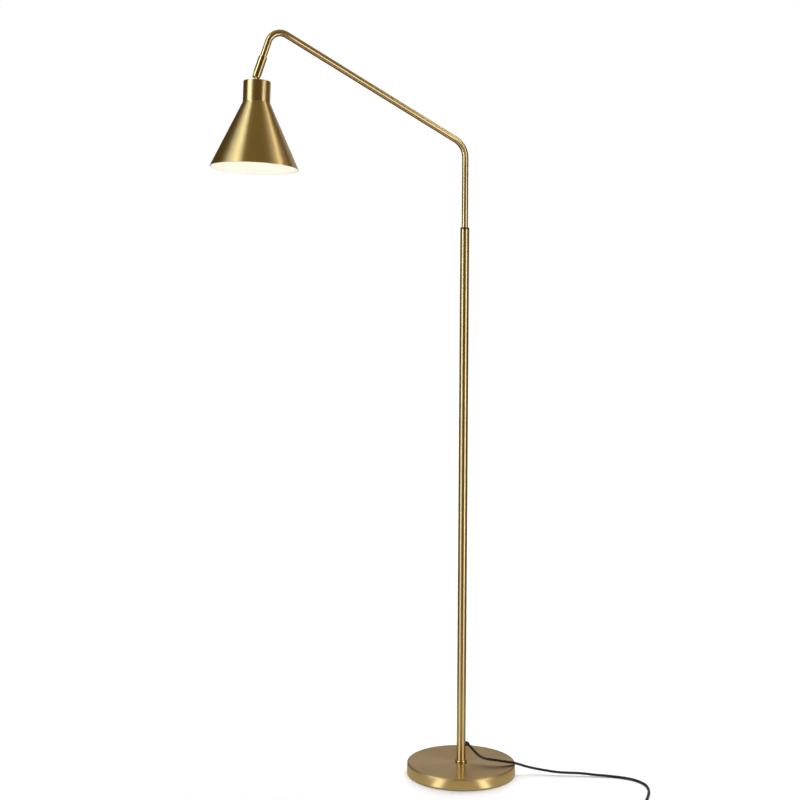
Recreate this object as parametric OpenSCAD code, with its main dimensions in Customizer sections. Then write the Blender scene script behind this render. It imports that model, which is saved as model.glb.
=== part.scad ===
// Floor lamp: weighted round base, upright tube, turning bent arm, cone shade on a slotted ball joint,
// and a lead with a foot switch and a plug.
// The origin is on the floor at the centre of the base. +Z is up and the arm reaches along -X.

/* [Base] */
// Diameter of the base
base_d = 220; // [180:5:280]
// Height of the base
base_h = 23.2; // [22:0.4:40]
// Sheet thickness of the base cover
base_wall = 1.2; // [0.8:0.1:2]
// Radius of the top edge of the base cover
base_edge_r = 2.5; // [1.5:0.5:5]
// Gap between the lower edge of the base cover and the floor
base_lift = 0.8; // [0.4:0.1:1.5]
// Thickness of the felt pad
pad_t = 2; // [1.6:0.2:4]
// How far the pad stays inside the base
pad_inset = 4; // [3:0.5:10]
// Depth of the hollow under the weight
core_depth = 7; // [5:1:12]
// Width of the rim of the weight
weight_rim_w = 18; // [12:1:26]
// Radius of the hub of the weight
weight_hub_r = 34; // [26:1:44]

/* [Base fixing] */
// Diameter of the bolt in the foot of the upright
bolt_d = 10; // [8:1:12]
// Width across flats of the bolt head
bolt_head_w = 17; // [15:1:19]
// Height of the bolt head
bolt_head_h = 6.4; // [5:0.2:8]
// Diameter of the washer
washer_d = 30; // [24:1:36]
// Thickness of the washer
washer_t = 2; // [1.5:0.5:3]
// Length of the threaded plug in the foot
insert_len = 22; // [16:1:26]

/* [Upright] */
// Outer diameter of the upright tube
pole_od = 18; // [16.5:0.5:22]
// Wall of the upright tube
pole_wall = 1.2; // [0.8:0.1:1.4]
// Length of the upright tube
pole_len = 1086; // [700:2:1300]
// Chamfer at the top of the upright tube
pole_chamfer = 0.8; // [0.3:0.1:1]
// Section diameter of the trim ring at the foot
collar_d = 5; // [4:0.5:8]
// Height of the lead outlet above the base
outlet_h = 36.5; // [32:0.5:80]

/* [Arm] */
// Outer diameter of the arm tube
arm_od = 12.7; // [11.5:0.1:13.2]
// Wall of the arm tube
arm_wall = 1; // [0.8:0.1:1.4]
// Depth of the arm tube in the upright
arm_insert = 120; // [80:5:200]
// Height of the lower bend's corner above the upright
arm_rise = 163; // [100:1:300]
// Distance between the corners of the two bends
arm_len = 441; // [300:1:600]
// Slope of the diagonal above the horizontal
arm_slope = 27.8; // [15:0.1:40]
// Bend radius of the lower bend
low_bend_r = 40; // [30:1:60]
// Bend radius of the upper bend
top_bend_r = 25; // [20:1:30]
// Lean of the drop from the vertical
drop_lean = 19; // [10:0.5:30]
// Distance from the upper corner to the ball
drop_len = 95; // [90:1:140]

/* [Arm bearing] */
// Length of the upper bush
upper_bush_len = 28; // [15:1:40]
// Length of the lower bush
lower_bush_len = 18; // [12:1:30]
// Thickness of the shoulder that carries the arm
shoulder_t = 3; // [2:0.5:5]
// Diameter of the stop pin
stop_pin_d = 3; // [2:0.5:4]
// Height of the stop lug
stop_lug_h = 8; // [6:0.5:12]
// Half angle of the stop lug
stop_lug_half = 10; // [6:1:14]

/* [Shade joint] */
// Wall of the sleeve
sleeve_wall = 1.8; // [1.2:0.1:2.2]
// Height of the sleeve above the ball
sleeve_top = 33; // [30:1:45]
// Sleeve below the ball
sleeve_end = 9.3; // [6.6:0.1:9.5]
// Chamfer at the lower end of the sleeve
sleeve_chamfer = 1.2; // [0.4:0.1:1.4]
// Diameter of the stem below the ball
stem_d = 8; // [7:0.5:8.5]
// Wire bore in the stem
wire_bore_d = 4.4; // [3.6:0.2:5]
// Shade tilt at which the slot ends, outwards from the drop
slot_out = 62; // [45:1:65]
// Shade tilt at which the slot ends, inwards from the drop
slot_in = 46; // [30:1:50]
// Height of the arm tube's end above the ball
arm_end_h = 17.5; // [17:0.5:19]
// Thickness of the web that turns on the nipple
web_t = 3; // [2:0.5:3.5]
// Diameter of the nipple
nipple_d = 8; // [7:0.5:8.4]

/* [Shade] */
// Distance from the ball to the top of the neck
neck_drop = 15.2; // [14:0.2:24]
// Diameter of the neck
neck_d = 52; // [48:1:60]
// Height of the neck
neck_h = 40; // [30:1:60]
// Diameter of the mouth
mouth_d = 169; // [150:1:240]
// Height of the cone
cone_h = 124; // [115:1:180]
// Sheet thickness of the shade
shade_wall = 1; // [0.6:0.1:1.6]
// Radius of the neck's top edge
neck_edge_r = 1.6; // [1.2:0.1:3]
// Lean of the shade from the vertical
shade_lean = 2; // [-10:0.5:15]
// Diameter of the hollow thread
thread_d = 10; // [9:0.5:11]

/* [Lamp holder and bulb] */
// Outer diameter of the holder's cap
cap_d = 37; // [35:1:42]
// Length of the holder's cap
cap_len = 22; // [20:1:26]
// Outer diameter of the holder's skirt
skirt_d = 40; // [39:1:45]
// Length of the holder's skirt
skirt_len = 34; // [30:1:40]
// Wall of the holder
holder_wall = 1.8; // [1.4:0.1:2.4]
// Outer diameter of the bulb's screw cap
bulb_cap_d = 26.2; // [24:0.2:27]
// Length of the bulb's screw cap
bulb_cap_len = 24; // [20:1:27]
// Diameter of the bulb
bulb_d = 60; // [45:1:62]
// Length of the bulb's glass
bulb_len = 80; // [72:1:92]

/* [Lead] */
// Diameter of the lead
cord_d = 5; // [4:0.5:6]
// Outer radius of the coil, at the middle of the lead
coil_r = 38; // [36:1:44]
// Distance between turns and between layers of the coil
coil_pitch = 5.5; // [5.5:0.1:7]
// Turns in the coil
coil_turns = 7; // [5:1:7]
// Width of the coil's tie
tie_w = 8; // [5:1:12]
// Thickness of the coil's tie
tie_t = 1; // [0.6:0.1:1.2]

/* [Foot switch] */
// Length of the foot switch
switch_l = 75; // [72:1:90]
// Width of the foot switch
switch_w = 34; // [34:1:44]
// Height of the foot switch's lower case
switch_low_h = 9; // [8.5:0.5:12]
// Height of the foot switch's upper case
switch_up_h = 11; // [10.5:0.5:14]
// Wall of the foot switch's cases
switch_wall = 2; // [1.6:0.1:2.4]
// Corner radius of the foot switch
switch_corner_r = 9; // [6:0.5:12]
// Diameter of the button
button_d = 22; // [18:1:24]
// Height of the button above the case
button_h = 4.5; // [4:0.5:7]
// Travel of the button
button_travel = 3; // [2:0.5:3]
// Wire diameter of the button's spring
spring_wire_d = 1; // [0.6:0.1:1.2]
// Turns of the button's spring
spring_turns = 4; // [3:1:4]

/* [Plug] */
// Thickness of the plug
plug_t = 13.7; // [13:0.1:16]
// Width of the plug at its face
plug_w = 35; // [32:1:38]
// Length of the plug's body
plug_l = 36; // [30:1:44]
// Length of the plug's tail
tail_l = 22; // [20:1:30]
// Diameter of the plug's pins
pin_d = 4; // [4:0.1:4.8]
// Length of the plug's pins
pin_len = 19; // [17:0.5:20]
// Distance between the plug's pins
pin_gap = 18.6; // [17:0.1:19]

/* [Hidden] */
$fn = 96;

// Radial clearance of a turning fit
turn_gap = 0.05;
// Gap of a loose thread or hole
loose_gap = 0.1;
// Gap between moving faces that do not bear on each other
free_gap = 0.3;
// Overlap of a cut past the face that it opens
cut = 1;
// Gap between the end of a lead and the face that it meets
seam = 0.02;
// How far a straight length reaches into a bend
lap = 0.5;
// How much fatter a bend is than the straight lengths
swell = 0.02;

brass = [0.72, 0.58, 0.30];
steel = [0.62, 0.63, 0.65];
iron = [0.28, 0.28, 0.29];
black = [0.07, 0.065, 0.06];
white = [0.95, 0.94, 0.90];
felt = [0.16, 0.15, 0.15];
glass = [0.98, 0.95, 0.85];

base_r = base_d / 2;
shell_in_r = base_r - base_wall;
weight_r = shell_in_r - free_gap;
weight_top = base_h - base_wall;
bolt_r = bolt_d / 2;
recess_h = washer_t + bolt_head_h + loose_gap;
recess_r = washer_d / 2 + 2 * free_gap;
washer_z = pad_t + bolt_head_h + loose_gap;
bolt_short = 4;

pole_r = pole_od / 2;
pole_in_r = pole_r - pole_wall;
pole_top = base_h + pole_len;
collar_r = collar_d / 2;
outlet_z = base_h + outlet_h;

arm_r = arm_od / 2;
arm_in_r = arm_r - arm_wall;
arm_bore_r = arm_r + turn_gap;
arm_foot = pole_top - arm_insert;
low_turn = 90 - arm_slope;
top_turn = 90 + arm_slope - drop_lean;
low_tangent = low_bend_r * tan(low_turn / 2);
top_tangent = top_bend_r * tan(top_turn / 2);
corner_z = pole_top + arm_rise;
upright_end = corner_z - low_tangent;
slope_dir = [-cos(arm_slope), 0, sin(arm_slope)];
diagonal_len = arm_len - low_tangent - top_tangent;
top_corner = [0, 0, corner_z] + arm_len * slope_dir;
pivot = top_corner - drop_len * [sin(drop_lean), 0, cos(drop_lean)];
cable_r = cord_d / 2 - loose_gap;
bush_sink = 1;
stop_pin_z = arm_foot + lower_bush_len + stop_lug_h / 2;

sleeve_r = arm_bore_r + sleeve_wall;
ball_r = arm_bore_r - 2 * free_gap;
seat_r = ball_r + loose_gap;
stem_r = stem_d / 2;
slot_r = stem_r + free_gap;
wire_bore_r = wire_bore_d / 2;
nipple_r = nipple_d / 2;
nipple_bore_r = cable_r + 2 * loose_gap;
thrust_t = 2.45;
web_top = arm_end_h - thrust_t - turn_gap;
web_low = web_top - web_t;
wave_t = 0.75;
nipple_head_t = 2.8;
nipple_head_top = web_low - turn_gap - wave_t;
cavity_r = arm_bore_r - 1.2;
insert_h = 14;
nipple_short = 2;
seat_low = 0.52 * ball_r;
leads_r = wire_bore_r - free_gap;

neck_r = neck_d / 2;
mouth_r = mouth_d / 2;
neck_top = -neck_drop;
neck_low = neck_top - neck_h;
mouth_z = neck_low - cone_h;
cone_angle = atan((mouth_r - neck_r) / cone_h);
flange_t = 2;
flange_r = stem_r + 3;
thread_r = thread_d / 2;
thread_hole_r = thread_r + loose_gap;
nut_t = 4;
nut_w = thread_d + 4;
nut_top = neck_top - shade_wall;
cap_top = nut_top - nut_t;
cap_low = cap_top - cap_len;
cap_roof = 3;
boss_len = 9;
carrier_t = 10;
leads_sink = 4;
ledge_t = 2;
ledge_top = cap_low - cap_roof;
carrier_top = ledge_top + carrier_t;
shell_in_gap = 0.3;
shell_r = bulb_cap_d / 2 + shell_in_gap;
shell_t = 0.6;
contact_t = 2;
contact_r = 4;
bulb_top = ledge_top - contact_t - loose_gap;
bulb_tip_h = 0.7;
bulb_nose_h = 2;
bulb_cap_low = bulb_top - bulb_cap_len - bulb_tip_h;
bulb_r = bulb_d / 2;
bulb_centre = bulb_cap_low - bulb_len + bulb_r;
glass_neck_r = bulb_cap_d / 2 + 1;
glass_t = 1;

cord_r = cord_d / 2;
cord_floor = cord_r + 0.1;
cord_sides = 10;
coil_sides = 6;
loop_rings = 24;
switch_y = -318;
switch_x = 120;
switch_h = switch_low_h + switch_up_h;
switch_mid = [switch_x + switch_l / 2, switch_y, 0];
post_t = 5;
post_h = switch_low_h + cord_r + 1;
post_in = 15;
screw_r = 1.4;
screw_head_r = 2.6;
screw_head_t = 2.2;
screw_sink = 0.6;
screw_boss_r = 3.8;
screw_len = 12;
screw_x = switch_l / 2 - 9.5;
screw_y = switch_w / 2 - switch_wall - screw_boss_r - free_gap;
button_r = button_d / 2;
roof_z = switch_h - switch_wall;
button_bevel = 1;
button_flange_t = 2.6;
button_flange_r = button_r + 1.4;
button_flange_z = roof_z - free_gap - button_flange_t;
plunger_r = 4;
plunger_z = switch_wall + switch_wall + button_travel + 2.5;
carrier_w = 14;
spring_r = plunger_r + free_gap + spring_wire_d + 0.4;
spring_low = 2 * switch_wall + loose_gap + spring_wire_d / 2;
spring_high = button_flange_z - loose_gap - spring_wire_d / 2;
coil_z = cord_r + tie_t + 0.6;
coil_centre = [80, switch_y + coil_r];
coil_mid_turn = coil_turns / 2;
coil_in_r = coil_r - coil_pitch * coil_mid_turn;
plug_axis = plug_t / 2;
plug_tail_x = 36;
tail_r = cord_r + 1.6;
pin_root_r = pin_d / 2 - 0.3;

// The grommet turns the lead down by this angle where it leaves the upright
outlet_dip = 45;
outlet_neck_r = 4;
outlet_flange_r = 5.6;
outlet_flange_t = 1.6;
outlet_out = pole_r + outlet_flange_t + lap;
outlet_bend_r = 5;
outlet_bend_d = cord_d + 2.4;
outlet_lip = 0.6;
outlet_len = 3.4;
outlet_dir = [cos(outlet_dip), 0, -sin(outlet_dip)];
outlet_end = [outlet_out - lap, 0, outlet_z]
    + outlet_bend_r * [sin(outlet_dip), 0, cos(outlet_dip) - 1]
    + (outlet_len + seam) * outlet_dir;
outlet_in = pole_in_r - 2.2;

// Route of the lead from the grommet over the base and the floor to the foot switch
route_start = [outlet_end, outlet_end + cord_d * outlet_dir];
route_middle = [
    [26.1, -2.9, 44.9], [30.8, -8, 39.3], [35.2, -13.9, 35.5], [40.1, -20.3, 33.3], [45.9, -26.2, 32.4],
    [53.4, -31.6, 31.9], [63.2, -36.5, 31.2], [73.6, -40.5, 29.9], [83.8, -43.9, 28.3], [93.6, -46.5, 26.8],
    [100.7, -47.8, 25.1], [110.5, -49, 21.7], [120.9, -50.1, 18], [132.7, -52.1, 14.5], [150.1, -57.7, 11],
    [167.6, -65.8, 8.6], [183.4, -73, 7], [200.3, -79.5, 6.4], [219.3, -86.2, 6.1], [237.7, -94.1, 5.2],
    [254.4, -102, 3.9], [270.7, -109.1, 3.3],
    [286, -117, cord_floor], [300, -127.5, cord_floor], [312, -140, cord_floor], [320.5, -156, cord_floor],
    [324.5, -174, cord_floor], [322, -193, cord_floor], [314, -214, cord_floor], [302, -234, cord_floor],
    [288, -254, cord_floor], [271, -273, cord_floor], [252, -290, 2.8], [234, -304, 4.4], [219, -313, 7.4]
];
switch_in = switch_x + switch_l;
route_end = [for (x = [switch_in + 10, switch_in - 3, switch_in - post_in + seam])
    [x, switch_y, switch_low_h]];
route = concat(route_start, route_middle, route_end);
run_path = smooth_path(route, 2);

function unit(v) = v / norm(v);
function ease(t) = (1 - cos(180 * min(max(t, 0), 1))) / 2;
function spline(a, b, c, d, t) =
    0.5 * (2 * b + (c - a) * t + (2 * a - 5 * b + 4 * c - d) * t * t + (3 * b - a - 3 * c + d) * t * t * t);
function smooth_path(p, n) = concat(
    [for (i = [0 : len(p) - 2], k = [0 : n - 1])
        i == 0 ? p[0] + (p[1] - p[0]) * k / n
               : spline(p[i - 1], p[i], p[i + 1], p[min(i + 2, len(p) - 1)], k / n)],
    [p[len(p) - 1]]);

// Coil: t counts turns. The lead spirals in, climbs one layer round the middle turn, and spirals out
function coil_point(t) = let (
    r = coil_r - coil_pitch * (coil_mid_turn - abs(t - coil_mid_turn)),
    a = -90 - 360 * t,
    z = coil_z + coil_pitch * ease((t - coil_mid_turn + 0.25) / 0.5)
) [coil_centre[0] + r * cos(a), coil_centre[1] + r * sin(a), z];
coil_lead_in = let (x0 = switch_x + post_in - seam, x1 = coil_centre[0]) concat(
    [for (x = [x0 : -5 : switch_x - 1]) [x, switch_y, switch_low_h]],
    [for (x = [switch_x - 7 : -7 : x1 + 5])
        [x, switch_y, switch_low_h + (coil_z - switch_low_h) * ease((switch_x - 2 - x) / 24)]]);
coil_lead_out = let (x1 = coil_centre[0], z2 = coil_z + coil_pitch) concat(
    [for (x = [x1 - 8 : -6 : plug_tail_x + cord_d + 4])
        [x, switch_y, z2 + (plug_axis - z2) * ease((x1 - 14 - x) / 22)]],
    [for (x = [plug_tail_x + cord_d, plug_tail_x + seam]) [x, switch_y, plug_axis]]);
coil_path = concat(
    coil_lead_in,
    [for (i = [0 : coil_turns * loop_rings]) coil_point(i / loop_rings)],
    coil_lead_out);
spring_path = [for (i = [0 : spring_turns * 8])
    [switch_mid[0] + spring_r * cos(45 * i), switch_mid[1] + spring_r * sin(45 * i),
     spring_low + (spring_high - spring_low) * i / (spring_turns * 8)]];

// Least gap of a wound tube to itself, between points at least half a turn apart
function least_gap(p, d, skip) =
    min([for (i = [0 : len(p) - 1 - skip]) min([for (j = [i + skip : len(p) - 1]) norm(p[i] - p[j])])]) - d;
echo(coil_least_gap = least_gap(coil_path, cord_d, loop_rings / 2));
echo(spring_least_gap = least_gap(spring_path, spring_wire_d, 5));
function path_len(p) = len(p) < 2 ? 0 : [for (i = 1, s = 0; i <= len(p); s = s + norm(p[min(i, len(p) - 1)] -
    p[i - 1]), i = i + 1) s][len(p) - 1];
echo(run_length = path_len(run_path), coil_length = path_len(coil_path));

// Tube with n flat sides along a path that is nowhere upright
module swept_tube(path, r, n) {
    last = len(path) - 1;
    rings = [for (i = [0 : last]) let (
        t = unit(path[min(i + 1, last)] - path[max(i - 1, 0)]),
        side = unit(cross(t, [0, 0, 1])),
        up = cross(side, t)
    ) for (k = [0 : n - 1]) path[i] + r * (cos(360 * k / n) * side + sin(360 * k / n) * up)];
    sides = [for (i = [0 : last - 1], k = [0 : n - 1]) let (
        a = i * n + k, b = i * n + (k + 1) % n
    ) each [[a, b, b + n], [a, b + n, a + n]]];
    caps = [for (k = [1 : n - 2]) each [[0, k + 1, k], [last * n, last * n + k, last * n + k + 1]]];
    polyhedron(points = rings, faces = concat(sides, caps));
}

module ring(r_out, r_in, h) {
    difference() {
        cylinder(r = r_out, h = h);
        translate([0, 0, -cut]) cylinder(r = r_in, h = h + 2 * cut);
    }
}

// Bent bar that starts here upwards and turns towards -X
module bend(bend_r, r, turn) {
    translate([-bend_r, 0, 0]) rotate([90, 0, 0]) rotate_extrude(angle = turn)
        translate([bend_r, 0]) circle(r = r);
}

// Frame at the end of a bend that starts here, upwards and towards -X
module after_bend(bend_r, turn) {
    translate([-bend_r, 0, 0]) rotate([0, -turn, 0]) translate([bend_r, 0, 0]) children();
}

// Solid along the arm's centre line, from a height in the upright to a height above the ball.
// The bends are a trace fatter than the straights, which reach into them
module along_arm(r, from_z, to_h) {
    translate([0, 0, upright_end]) {
        translate([0, 0, lap]) rotate([180, 0, 0]) cylinder(r = r, h = upright_end - from_z + lap);
        bend(low_bend_r, r + swell, low_turn);
        after_bend(low_bend_r, low_turn) {
            translate([0, 0, -lap]) cylinder(r = r, h = diagonal_len + 2 * lap);
            translate([0, 0, diagonal_len]) {
                bend(top_bend_r, r + swell, top_turn);
                after_bend(top_bend_r, top_turn) translate([0, 0, -lap])
                    cylinder(r = r, h = drop_len - top_tangent - to_h + lap);
            }
        }
    }
}

// Frame of the drop: origin at the ball, +Z up along the drop
module at_drop() {
    translate(pivot) rotate([0, drop_lean, 0]) children();
}

// Frame of the shade: origin at the ball, +Z up along the shade's axis
module at_shade() {
    translate(pivot) rotate([0, shade_lean, 0]) children();
}

module base_shell() {
    arc = [for (a = [90 : -10 : 0]) [base_r - base_edge_r + base_edge_r * cos(a),
                                     base_h - base_edge_r + base_edge_r * sin(a)]];
    color(brass) rotate_extrude() polygon(concat(
        [[bolt_r + loose_gap, base_h]], arc,
        [[base_r, base_lift], [shell_in_r, base_lift], [shell_in_r, weight_top],
         [bolt_r + loose_gap, weight_top]]));
}

module base_weight() {
    color(iron) difference() {
        translate([0, 0, pad_t]) cylinder(r = weight_r, h = weight_top - pad_t);
        translate([0, 0, pad_t - cut]) ring(weight_r - weight_rim_w, weight_hub_r, core_depth + cut);
        translate([0, 0, pad_t - cut]) cylinder(r = recess_r, h = recess_h + cut);
        cylinder(r = bolt_r + loose_gap, h = base_h);
    }
}

module base_pad() {
    color(felt) cylinder(r = base_r - pad_inset, h = pad_t);
}

module pole_bolt() {
    color(steel) {
        translate([0, 0, washer_z - bolt_head_h])
            cylinder(r = bolt_head_w / sqrt(3), h = bolt_head_h, $fn = 6);
        translate([0, 0, washer_z]) cylinder(r = bolt_r, h = base_h + insert_len - bolt_short - washer_z);
    }
}

module bolt_washer() {
    color(steel) translate([0, 0, washer_z]) ring(washer_d / 2, bolt_r + loose_gap, washer_t);
}

module foot_insert() {
    color(steel) translate([0, 0, base_h]) ring(pole_in_r, bolt_r + loose_gap, insert_len);
}

module foot_collar() {
    color(brass) difference() {
        translate([0, 0, base_h + collar_r]) rotate_extrude() translate([pole_r + 1, 0]) circle(r = collar_r);
        translate([0, 0, base_h - cut]) cylinder(r = pole_r + turn_gap, h = collar_d + 2 * cut);
    }
}

module pole_tube() {
    color(brass) difference() {
        translate([0, 0, base_h]) union() {
            cylinder(r = pole_r, h = pole_len - pole_chamfer);
            translate([0, 0, pole_len - pole_chamfer])
                cylinder(r1 = pole_r, r2 = pole_r - pole_chamfer, h = pole_chamfer);
        }
        translate([0, 0, base_h - cut]) cylinder(r = pole_in_r, h = pole_len + 2 * cut);
        translate([0, 0, outlet_z]) rotate([0, 90, 0]) cylinder(r = outlet_neck_r, h = pole_r + cut);
    }
}

module upper_bush() {
    color(black) translate([0, 0, pole_top - bush_sink - upper_bush_len])
        ring(pole_in_r, arm_bore_r, upper_bush_len);
}

module lower_bush() {
    lug_in = arm_r + free_gap;
    color(black) {
        translate([0, 0, arm_foot - shoulder_t]) ring(pole_in_r, cable_r + bush_sink, shoulder_t);
        translate([0, 0, arm_foot]) ring(pole_in_r, arm_bore_r, lower_bush_len);
        translate([0, 0, arm_foot + lower_bush_len]) rotate([0, 0, 180 - stop_lug_half])
            rotate_extrude(angle = 2 * stop_lug_half) translate([lug_in, 0])
                square([pole_in_r - lug_in, stop_lug_h]);
    }
}

module cord_grommet() {
    color(black) translate([0, 0, outlet_z]) rotate([0, 90, 0]) {
        translate([0, 0, outlet_in]) cylinder(r = outlet_neck_r - turn_gap, h = outlet_out - outlet_in);
        difference() {
            cylinder(r = outlet_flange_r, h = pole_r + outlet_flange_t);
            rotate([0, 90, 0]) cylinder(r = pole_r + turn_gap, h = 4 * outlet_flange_r, center = true);
        }
        translate([0, 0, outlet_out - lap]) rotate([0, 0, 180]) {
            bend(outlet_bend_r, outlet_bend_d / 2, outlet_dip);
            after_bend(outlet_bend_r, outlet_dip) translate([0, 0, -lap])
                cylinder(r1 = outlet_bend_d / 2 - free_gap, r2 = cord_r + outlet_lip, h = outlet_len + lap);
        }
    }
}

module pole_cable() {
    turn_r = outlet_in;
    color(white) {
        translate([0, 0, outlet_z + turn_r]) rotate([180, 0, 180]) bend(turn_r, cable_r + swell, 90);
        translate([0, 0, outlet_z + turn_r - lap])
            cylinder(r = cable_r, h = arm_foot - lap - outlet_z - turn_r);
    }
}

module arm_tube() {
    color(brass) difference() {
        along_arm(arm_r, arm_foot + turn_gap, arm_end_h);
        along_arm(arm_in_r, arm_foot - cut, arm_end_h - cut);
        translate([0, 0, stop_pin_z]) rotate([0, 90, 0]) cylinder(r = stop_pin_d / 2, h = arm_od);
    }
}

module arm_stop_pin() {
    pin_in = arm_in_r - arm_wall;
    color(steel) translate([pin_in, 0, stop_pin_z]) rotate([0, 90, 0])
        cylinder(r = stop_pin_d / 2, h = pole_in_r - free_gap - pin_in);
}

module arm_cable() {
    color(white) along_arm(cable_r, arm_foot + lap, nipple_head_top - nipple_head_t + cut);
}

module arm_end_insert() {
    color(brass) at_drop() translate([0, 0, arm_end_h]) ring(arm_in_r, nipple_r, insert_h);
}

module swivel_nipple() {
    color(steel) at_drop() difference() {
        union() {
            translate([0, 0, nipple_head_top - nipple_head_t])
                cylinder(r = cavity_r - free_gap, h = nipple_head_t);
            translate([0, 0, nipple_head_top])
                cylinder(r = nipple_r, h = arm_end_h + insert_h - nipple_short - nipple_head_top);
        }
        cylinder(r = nipple_bore_r, h = sleeve_top + insert_h);
    }
}

module friction_washer() {
    color(steel) at_drop() translate([0, 0, nipple_head_top])
        ring(cavity_r - free_gap, nipple_r + turn_gap, wave_t);
}

module thrust_washer() {
    color(white) at_drop() translate([0, 0, web_top + turn_gap])
        ring(arm_r - loose_gap, nipple_r + turn_gap, thrust_t);
}

// Slot with flat ends that lets the stem swing in the plane of the arm
module stem_slot() {
    reach = 2 * sleeve_r;
    swing = [for (a = [-slot_out : 9 : slot_in]) reach * [sin(a), -cos(a)]];
    out_side = slot_r * [-cos(slot_out), sin(slot_out)];
    in_side = slot_r * [cos(slot_in), sin(slot_in)];
    outward = reach * [-sin(slot_out), -cos(slot_out)];
    inward = reach * [sin(slot_in), -cos(slot_in)];
    rotate([90, 0, 0]) translate([0, 0, -slot_r]) linear_extrude(height = 2 * slot_r) polygon(concat(
        [out_side, outward + out_side], swing, [inward + in_side, in_side]));
}

module knuckle_sleeve() {
    color(brass) at_drop() difference() {
        union() {
            translate([0, 0, sleeve_chamfer - sleeve_end])
                cylinder(r = sleeve_r, h = sleeve_top + sleeve_end - sleeve_chamfer);
            translate([0, 0, -sleeve_end])
                cylinder(r1 = sleeve_r - sleeve_chamfer, r2 = sleeve_r, h = sleeve_chamfer);
        }
        cylinder(r = arm_bore_r, h = sleeve_top + cut);
        sphere(r = seat_r);
        stem_slot();
    }
}

module ball_seat() {
    color(steel) at_drop() difference() {
        translate([0, 0, seat_low]) cylinder(r = arm_bore_r, h = web_top - seat_low);
        translate([0, 0, seat_low - cut]) cylinder(r = cavity_r, h = web_low - seat_low + cut);
        cylinder(r = nipple_r + turn_gap, h = sleeve_top);
    }
}

module ball_stud() {
    color(brass) at_shade() difference() {
        union() {
            sphere(r = ball_r);
            translate([0, 0, neck_top]) cylinder(r = stem_r, h = neck_drop);
            translate([0, 0, neck_top]) cylinder(r = flange_r, h = flange_t);
            translate([0, 0, cap_top - boss_len]) cylinder(r = thread_r, h = neck_top - cap_top + boss_len);
        }
        translate([0, 0, mouth_z]) cylinder(r = wire_bore_r, h = -mouth_z + arm_od);
        translate([0, 0, ball_r / 3]) cylinder(r1 = wire_bore_r, r2 = wire_bore_r + 2, h = ball_r);
    }
}

module stem_nut() {
    color(steel) at_shade() translate([0, 0, cap_top]) difference() {
        cylinder(r = nut_w / sqrt(3), h = nut_t, $fn = 6);
        translate([0, 0, -cut]) cylinder(r = thread_r, h = nut_t + 2 * cut);
    }
}

module shade() {
    e = neck_edge_r;
    w = shade_wall;
    side_w = w / cos(cone_angle);
    turn_in = w * tan(cone_angle / 2);
    edge = [for (a = [90 : -15 : 0]) [neck_r - e + e * cos(a), neck_top - e + e * sin(a)]];
    color(brass) at_shade() rotate_extrude() polygon(concat(
        [[thread_hole_r, neck_top]], edge,
        [[neck_r, neck_low], [mouth_r, mouth_z], [mouth_r - side_w, mouth_z],
         [neck_r - w, neck_low - turn_in], [neck_r - w, neck_top - w], [thread_hole_r, neck_top - w]]));
}

module holder_cap() {
    color(black) at_shade() {
        translate([0, 0, cap_low]) ring(cap_d / 2, cap_d / 2 - holder_wall, cap_len);
        translate([0, 0, cap_top - cap_roof]) ring(cap_d / 2, thread_r, cap_roof);
        translate([0, 0, cap_top - boss_len]) ring(thread_r + cap_roof, thread_r, boss_len);
    }
}

module holder_skirt() {
    color(black) at_shade() {
        translate([0, 0, cap_low - skirt_len]) ring(skirt_d / 2, skirt_d / 2 - holder_wall, skirt_len);
        translate([0, 0, ledge_top - ledge_t]) ring(skirt_d / 2, shell_r + shell_t + free_gap, ledge_t);
    }
}

module contact_carrier() {
    color(white) at_shade() translate([0, 0, ledge_top]) difference() {
        cylinder(r = cap_d / 2 - holder_wall - free_gap, h = carrier_t);
        translate([0, 0, carrier_t - leads_sink]) cylinder(r = leads_r + loose_gap, h = leads_sink + cut);
    }
}

module screw_shell() {
    color(steel) at_shade() translate([0, 0, ledge_top - bulb_cap_len])
        ring(shell_r + shell_t, shell_r, bulb_cap_len);
}

module centre_contact() {
    color(brass) at_shade() translate([0, 0, ledge_top - contact_t]) cylinder(r = contact_r, h = contact_t);
}

module lamp_leads() {
    color(white) at_shade() translate([0, 0, carrier_top - leads_sink])
        cylinder(r = leads_r, h = leads_sink - carrier_top);
}

module bulb_cap() {
    body_h = bulb_cap_len - bulb_nose_h;
    color(steel) at_shade() translate([0, 0, bulb_cap_low]) {
        cylinder(r = bulb_cap_d / 2, h = body_h);
        translate([0, 0, body_h]) cylinder(r1 = bulb_cap_d / 2, r2 = contact_r + 1.5, h = bulb_nose_h);
        translate([0, 0, bulb_cap_len]) cylinder(r = contact_r, h = bulb_tip_h);
    }
}

// Pear shape of the bulb, thinner by a wall
module pear(t) {
    join = bulb_r * 0.6;
    translate([0, 0, bulb_centre]) sphere(r = bulb_r - t);
    translate([0, 0, bulb_centre + join])
        cylinder(r1 = bulb_r * 0.8 - t, r2 = glass_neck_r - t, h = bulb_cap_low - bulb_centre - join - t);
}

module bulb_glass() {
    color(glass) at_shade() difference() {
        pear(0);
        pear(glass_t);
    }
}

module cord_run() {
    color(black) swept_tube(run_path, cord_r, cord_sides);
}

module cord_coil() {
    color(black) swept_tube(coil_path, cord_r, coil_sides);
}

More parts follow.
